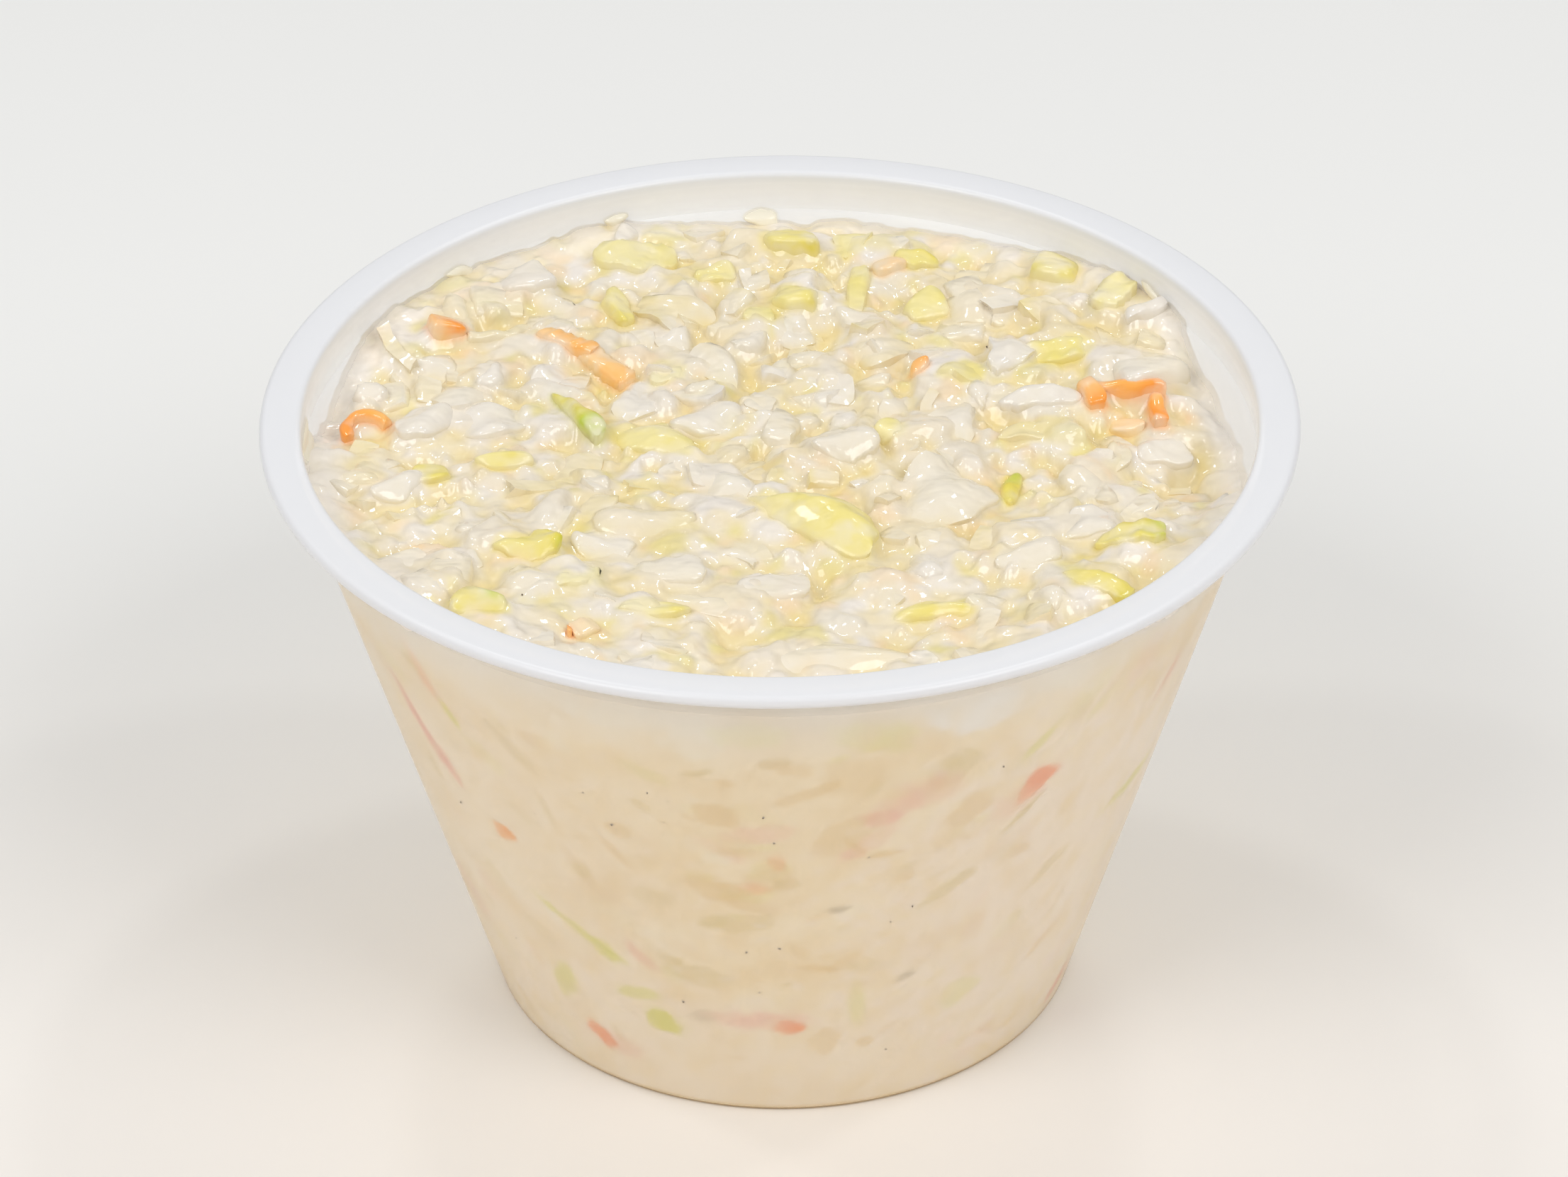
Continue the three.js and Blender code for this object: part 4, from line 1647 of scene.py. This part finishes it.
@dataclass
class SaladSide:
    """The mass of salad, up to just under its top and out to just under the wall's outer skin."""

    cup: PortionCup
    top: SaladTop
    rng: np.random.Generator
    columns: int = 600
    rows: int = 134
    floor_rings: int = 8
    patches: int = 560
    waves: int = 60
    sunk_in_floor: float = 0.25
    foot_overlap: float = 0.5
    foot_run: float = 0.4
    under_edge: float = 0.04
    lid_drop: float = 1.6
    lid_gap: float = 0.9
    lid_middle: tuple[float, float] = (20.0, 2.0)
    tones: tuple[Colour, Colour] = (linear(249, 226, 176), linear(254, 238, 202))
    patch_colours: tuple[Colour, ...] = (AMBER, AMBER, AMBER, OLIVE, CREAM, LEAFY, ROSE)
    # Painted light towards the top of the side: where it starts, where it is full, and how strong.
    painted_top_light_from: float = 37.0
    painted_top_light_at: float = 43.6
    painted_top_light: float = 0.75

    def random_stain(self) -> Stain:
        """Draws a soft patch of cabbage pressed against the wall.

        Returns:
            The patch.
        """
        draw = self.rng.uniform
        length = 0.8 + 4.6 * draw() ** 1.5
        width = length * draw(0.2, 0.65)
        colour = self.patch_colours[self.rng.integers(len(self.patch_colours))]
        strength = draw(0.12, 0.55) * (0.6 if colour in (LEAFY, ROSE) else 1)
        around = draw(-180, 180)
        slant = 50 * math.sin(math.radians(2 * around + 180)) + draw(-30, 30)
        return Stain(around, draw(1.5, 41), length, width, slant, colour, strength, draw(0.15, 0.4))

    def clouds(self, points: Array, shortest: float, longest: float) -> Array:
        """An uneven pattern over the side, made of random waves.

        Args:
            points: Points of the side.
            shortest: The shortest wave in millimetres.
            longest: The longest.

        Returns:
            A value for each point, about -1 to 1.
        """
        total = np.zeros(len(points))
        for _ in range(self.waves):
            way = self.rng.normal(size=3)
            way *= 2 * math.pi / (np.linalg.norm(way) * self.rng.uniform(shortest, longest))
            total += np.sin(points @ way + self.rng.uniform(0, 6.3))
        return total / math.sqrt(self.waves)

    def stained(self, points: Array) -> Array:
        """Colours the side: cream, with soft patches where pieces press against the wall, broad patches of
        painted light, and painted light towards the top that lifts the shade under the rim.

        Args:
            points: Points of the side.

        Returns:
            A linear colour for each point.
        """
        angle, height = np.arctan2(points[:, 1], points[:, 0]), points[:, 2]
        ragged, patchy = self.clouds(points, 0.9, 3), self.clouds(points, 1.2, 5)
        broad = self.clouds(points, 5, 16)
        tone = np.clip(0.5 + 0.3 * broad + 0.2 * patchy, 0, 1)[:, None]
        dull, light = (np.array(colour) for colour in self.tones)
        colours = dull * (1 - tone) + light * tone
        for stain in [*(self.random_stain() for _ in range(self.patches)), *WALL_MARKS]:
            turn = (angle - math.radians(stain.around) + math.pi) % (2 * math.pi) - math.pi
            along, up = turn * self.cup.outer(stain.height), height - stain.height
            reach = stain.length / 2 + 2 * stain.blur + 0.5
            near = np.flatnonzero((np.abs(along) < reach) & (np.abs(up) < reach))
            cos, sin = math.cos(math.radians(stain.slant)), math.sin(math.radians(stain.slant))
            s, t = cos * along[near] + sin * up[near], cos * up[near] - sin * along[near]
            out = ((2 * np.abs(s) / stain.length) ** 2 + (2 * np.abs(t) / stain.width) ** 2) ** 0.5
            out += 0.2 * ragged[near]
            edge = min(0.9, stain.blur / stain.width)
            share = stain.strength * (1 - smooth_step(1 - edge, 1 + edge, out))
            share *= np.clip(0.85 + 0.25 * patchy[near], 0, 1)
            colours[near] += share[:, None] * (np.array(stain.colour) - colours[near])
        # Painted light: lighter towards the top, lifting the shade under the rim.
        high = self.painted_top_light * smooth_step(self.painted_top_light_from, self.painted_top_light_at, height + 0.8 * broad)[:, None]
        return colours + high * (np.array(MILK) - colours)

    def build(self) -> bpy.types.Object:
        """Builds the closed side, from the floor's middle to the hidden lid, and dresses it.

        Returns:
            The side, which stands for the salad's solid.
        """
        angle = np.arange(self.columns) * 2 * math.pi / self.columns
        flat = np.ones(self.columns)
        cup = self.cup
        foot = cup.foot_recess + cup.floor - self.sunk_in_floor
        ring = cup.corner_x - cup.foot_width + self.foot_overlap
        edge = self.top.edge(angle)
        shares = np.linspace(0, 1, self.floor_rings + 1)[1:]
        section = [(ring * share * flat, foot * flat) for share in shares]
        corner = cup.arc(cup.corner_x, cup.corner, cup.corner - cup.skin, -90, -cup.lean, 6)
        section += [(x * flat, z * flat) for x, z in [(ring + self.foot_run, cup.skin), *corner]]
        start = corner[-1][1]
        for share in np.linspace(0, 1, self.rows + 1)[1:]:
            level = start + (edge - self.under_edge - start) * share
            section.append((cup.within(level), level))
        lid = np.minimum(edge - self.lid_drop, self.top.underside)
        middle, dip = self.lid_middle
        deep = float(edge.min()) - dip
        section += [(cup.within(lid) - self.lid_gap, lid), (middle * flat, deep * flat)]
        cos, sin = np.cos(angle), np.sin(angle)
        rings = [np.stack([radius * cos, radius * sin, level], -1) for radius, level in section]
        points = np.concatenate([*rings, [[0, 0, foot], [0, 0, deep]]])
        low, high, last = len(points) - 2, len(points) - 1, (len(rings) - 1) * self.columns
        faces = ring_faces(self.columns, len(rings))
        for i in range(self.columns):
            j = (i + 1) % self.columns
            faces += [[low, j, i], [high, last + i, last + j]]
        side = mesh_piece("salad_side", points, faces)
        painted(side, "stain", self.stained(points))
        smoothed(side, 60)
        side.data.materials.append(CreamDressing("pressed_salad", 200, 0.00001, 0.0).material())
        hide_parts("coleslaw")
        return side


# Degrees round the cup and height of the flecks that show through the wall.
WALL_SPECKS = (
    (-96.3, 41.7), (-116.4, 32.4), (-104.6, 33.3), (-107.2, 33.9), (-105.6, 31.0),
    (-113.1, 29.7), (-91.2, 29.7), (-141.6, 11.2), (-106.9, 11.5), (-95.7, 17.8),
    (-125.6, 28.2), (-142.7, 24.5), (-78.4, 27.6), (-74.1, 20.2), (-71.0, 21.5),
    (-90.7, 18.3), (-71.7, 5.8), (-61.2, 34.2), (-92.5, 32.4), (-94.0, 13.4),
)  # fmt: skip


@dataclass
class Pepper:
    """Fine dark flecks on the surface and at the wall's outer skin, some a little proud of it."""

    cup: PortionCup
    relief: Relief
    rng: np.random.Generator
    size: tuple[float, float] = (0.08, 0.17)
    on_top: tuple[tuple[float, float], ...] = ((-17.9, -18.6), (9.4, -11.9), (15.2, 15.1))
    elsewhere: int = 24

    def build(self) -> bpy.types.Object:
        """Scatters the flecks.

        Returns:
            The flecks as one piece.
        """
        deselect()
        bpy.ops.mesh.primitive_cube_add(size=1)
        points, faces = Knife.taken(bpy.context.object)
        places = [(x, y, float(self.relief.sample(self.relief.height, x, y)) + 0.05) for x, y in self.on_top]
        loose = [(self.rng.uniform(-20, 200), self.rng.uniform(3, 40)) for _ in range(self.elsewhere)]
        for around, z in [*WALL_SPECKS, *loose]:
            radius, angle = float(self.cup.within(z)), math.radians(around)
            places.append((radius * math.cos(angle), radius * math.sin(angle), z))
        batches = []
        for place in places:
            size = self.rng.uniform(*self.size)
            grain = points * (size, size * self.rng.uniform(0.5, 1), size * 0.8)
            fleck = turned(grain, 2, self.rng.uniform(0, 3))
            batches.append(turned(fleck, 0, self.rng.uniform(0, 3)) + place)
        offsets = np.arange(len(batches))[:, None, None] * len(points)
        corners = (faces + offsets).reshape(-1, 4).tolist()
        piece = mesh_piece("pepper_flecks", np.concatenate(batches), corners)
        piece.data.materials.append(PepperSkin().material())
        return piece


@dataclass(frozen=True)
class Smear:
    """Dressing smeared on the inner wall: degrees round the cup, height, size, slant and thickness."""

    around: float
    height: float
    wide: float
    tall: float
    slant: float
    thickness: float


@dataclass
class Smears:
    """The smears and dabs of dressing above the salad's edge."""

    cup: PortionCup
    rng: np.random.Generator
    rings: int = 9
    sectors: int = 48
    edge_depth: float = 0.08
    back_depth: float = 0.22
    colour: Colour = linear(246, 241, 224)
    marks: tuple[Smear, ...] = (
        Smear(36, 43.6, 2.6, 0.9, 30, 0.3),
        Smear(92, 42.5, 2.4, 1.4, 0, 0.3),
        Smear(111, 43.5, 1.8, 1.1, 0, 0.35),
        Smear(134, 43.4, 3.0, 0.9, 10, 0.3),
        Smear(178, 43.0, 5.0, 1.6, -8, 0.22),
    )

    def sheet(self, smear: Smear) -> Array:
        """Points of one smear: the middle and the rings of its face, then the same in the wall.

        Args:
            smear: The smear.

        Returns:
            The points in millimetres.
        """
        rings = np.sin(np.linspace(0, math.pi / 2, self.rings + 1))[1:]
        sectors = np.arange(self.sectors) * 2 * math.pi / self.sectors
        share, angle = np.meshgrid(rings, sectors, indexing="ij")
        share, angle = np.append(0, share), np.append(0, angle)
        turn = self.rng.uniform(0, 6.3, 4)
        ragged = 1 + 0.14 * np.sin(2 * angle + turn[0]) + 0.1 * np.sin(3 * angle + turn[1])
        ragged += 0.05 * np.sin(5 * angle + turn[2])
        s = share * ragged * np.cos(angle) * smear.wide / 2
        t = share * ragged * np.sin(angle) * smear.tall / 2
        tip = math.radians(smear.slant)
        along = math.cos(tip) * s - math.sin(tip) * t
        level = smear.height + math.sin(tip) * s + math.cos(tip) * t
        wall = self.cup.inner(level)
        around = math.radians(smear.around) + along / wall
        lumps = 0.9 + 0.1 * np.sin(0.9 * along + turn[3]) * np.cos(1.3 * level)
        face = wall + self.edge_depth - (smear.thickness + self.edge_depth) * lumps * (1 - share**3)
        sides = (face, wall + self.back_depth)
        return np.concatenate([np.stack([r * np.cos(around), r * np.sin(around), level], -1) for r in sides])

    def corners(self) -> list[list[int]]:
        """Faces of one smear, counter-clockwise from outside it.

        Returns:
            The corner numbers of each face.
        """
        back, found = 1 + self.rings * self.sectors, []
        for i in range(self.sectors):
            j = (i + 1) % self.sectors
            found += [[0, 1 + j, 1 + i], [back, back + 1 + i, back + 1 + j]]
            for ring in range(self.rings - 1):
                low, high = 1 + ring * self.sectors, 1 + (ring + 1) * self.sectors
                found.append([low + i, low + j, high + j, high + i])
                found.append([back + low + i, back + high + i, back + high + j, back + low + j])
            rim = 1 + (self.rings - 1) * self.sectors
            found.append([rim + i, rim + j, back + rim + j, back + rim + i])
        return found

    def build(self) -> bpy.types.Object:
        """Joins the smears.

        Returns:
            The smears as one piece.
        """
        sheets, corners = [self.sheet(smear) for smear in self.marks], self.corners()
        starts = range(0, len(sheets) * len(sheets[0]), len(sheets[0]))
        faces = [[corner + start for corner in face] for start in starts for face in corners]
        piece = mesh_piece("cream_smears", np.concatenate(sheets), faces)
        painted(piece, "stain", np.tile(self.colour, (len(piece.data.vertices), 1)))
        smoothed(piece, 60)
        piece.data.materials.append(CreamDressing("smeared_cream", 300, 0.00002, 0.3).material())
        return piece


# ---------------------------------------------------------------- studio


@dataclass(frozen=True)
class Camera:
    """The viewpoint, fitted to the rim and the base of the cup.

    Right and above say how far the target stands from the middle of the view.
    """

    target: Vector = Vector((0, 0, 0.022))
    distance: float = 0.5171
    elevation: float = 32.95
    roll: float = 0.47
    right: float = -0.0002
    above: float = -0.00758
    lens: float = 162.75

    def build(self) -> bpy.types.Object:
        """Adds the camera and makes it the scene's.

        Returns:
            The camera.
        """
        tip, turn = math.radians(self.elevation), math.radians(self.roll)
        forward = Vector((0, math.cos(tip), -math.sin(tip)))
        side, up = Vector((1, 0, 0)), Vector((0, math.sin(tip), math.cos(tip)))
        place = self.target - forward * self.distance - side * self.right - up * self.above
        axis_x = math.cos(turn) * side - math.sin(turn) * up
        axis_y = math.sin(turn) * side + math.cos(turn) * up
        pose = Matrix((axis_x, axis_y, -forward)).transposed()
        deselect()
        bpy.ops.object.camera_add(location=place, rotation=pose.to_euler())
        camera = bpy.context.object
        camera.name = "view_camera"
        camera.data.lens = self.lens
        camera.data.sensor_width = 36
        camera.data.clip_start = 0.01
        bpy.context.scene.camera = camera
        return camera


@dataclass(frozen=True)
class SoftLight:
    """A soft lamp aimed at the cup."""

    name: str
    place: tuple[float, float, float]
    size: float
    power: float
    aim: tuple[float, float, float] = (0, 0, 0.03)

    def build(self) -> bpy.types.Object:
        """Adds the lamp.

        Returns:
            The lamp.
        """
        way = (Vector(self.aim) - Vector(self.place)).to_track_quat("-Z", "Y")
        deselect()
        bpy.ops.object.light_add(type="AREA", location=self.place, rotation=way.to_euler())
        lamp = bpy.context.object
        lamp.name = self.name
        lamp.data.size = self.size
        lamp.data.energy = self.power
        return lamp


@dataclass
class Studio:
    """A pale table and soft lamps."""

    lamps: tuple[SoftLight, ...] = (
        SoftLight("left_front_light", (-0.43, -0.43, 0.65), 0.4, 2.42),
        SoftLight("right_front_light", (0.43, -0.43, 0.65), 0.4, 2.42),
        SoftLight("left_back_light", (-0.16, 0.26, 0.6), 0.06, 0.28),
        SoftLight("right_back_light", (0.18, 0.24, 0.6), 0.06, 0.28),
        SoftLight("left_side_light", (-0.38, 0.08, 0.5), 0.06, 0.24),
        SoftLight("right_side_light", (0.38, 0.08, 0.5), 0.06, 0.24),
    )
    sky_front: float = 0.37
    sky_back: float = 0.43
    sky_rise: float = 0.7
    table_size: float = 4.0

    def build(self) -> None:
        """Adds the table, the lamps and the sky."""
        deselect()
        bpy.ops.mesh.primitive_plane_add(size=self.table_size)
        table = bpy.context.object
        table.name = "pale_table"
        table.data.materials.append(PaleTable().material())
        for lamp in self.lamps:
            lamp.build()
        world = bpy.data.worlds.new("soft_sky")
        world.use_nodes = True
        tree = world.node_tree
        sky = tree.nodes["Background"]
        sky.inputs["Color"].default_value = (1, 1, 1, 1)
        kinds = ("TexCoord", "SeparateXYZ", "MapRange")
        place, axes, share = (tree.nodes.new("ShaderNode" + kind) for kind in kinds)
        share.inputs["From Max"].default_value = self.sky_rise
        share.inputs["To Min"].default_value = self.sky_front
        share.inputs["To Max"].default_value = self.sky_back
        tree.links.new(place.outputs["Generated"], axes.inputs["Vector"])
        tree.links.new(axes.outputs["Y"], share.inputs["Value"])
        tree.links.new(share.outputs["Result"], sky.inputs["Strength"])
        bpy.context.scene.world = world
        bpy.context.scene.view_settings.view_transform = "Standard"


def food_finishes() -> dict[Kind, WetFood]:
    """The finish of each kind of piece.

    Returns:
        A finish for every kind.
    """
    pale = {
        0.0: linear(235, 228, 218),
        0.3: linear(236, 226, 205),
        0.55: linear(235, 220, 183),
        0.8: linear(234, 217, 154),
        1.0: linear(236, 210, 172),
    }
    green = {
        0.0: linear(242, 232, 184),
        0.3: linear(239, 225, 148),
        0.6: linear(236, 219, 108),
        0.8: linear(228, 211, 68),
        1.0: linear(190, 206, 56),
    }
    carrot = {
        0.0: linear(247, 218, 176),
        0.4: linear(253, 204, 132),
        0.8: linear(255, 178, 82),
        1.0: linear(255, 160, 60),
    }
    return {
        Kind.CABBAGE: WetFood("cabbage_flesh", pale),
        Kind.LEAF: WetFood("cabbage_leaf", pale, grain=650, coating=0.35),
        Kind.GREEN: WetFood("green_leaf", green, coating=0.2, grain=600, relief=0.0003, gloss=0.22),
        Kind.CARROT: WetFood("carrot_flesh", carrot, coating=0.14, grain=700, relief=0.0001),
    }


def main() -> None:
    """Builds the cup, the salad and the studio, and reports each piece."""
    logging.basicConfig(level=logging.INFO, format="%(name)s: %(message)s")
    rng = np.random.default_rng(SEED)
    cup, surface = PortionCup(), Surface()
    relief = Relief(surface, rng)
    relief.soak()
    heap = Heap(cup, surface, relief, rng, food_finishes())
    heap.fill()
    relief.settle(*heap.cover())
    slots = {Kind.CABBAGE: "coleslaw", Kind.LEAF: "coleslaw", Kind.GREEN: "leaf", Kind.CARROT: "carrot"}
    top = SaladTop(cup, relief)
    pieces = [cup.build(), *heap.build(slots), top.build()]
    pieces += [SaladSide(cup, top, rng).build(), Pepper(cup, relief, rng).build(), Smears(cup, rng).build()]
    for piece in pieces:
        LOG.info("%s: %d points, %d faces", piece.name, len(piece.data.vertices), len(piece.data.polygons))
    Studio().build()
    Camera().build()
    deselect()


if __name__ == "__main__":
    main()
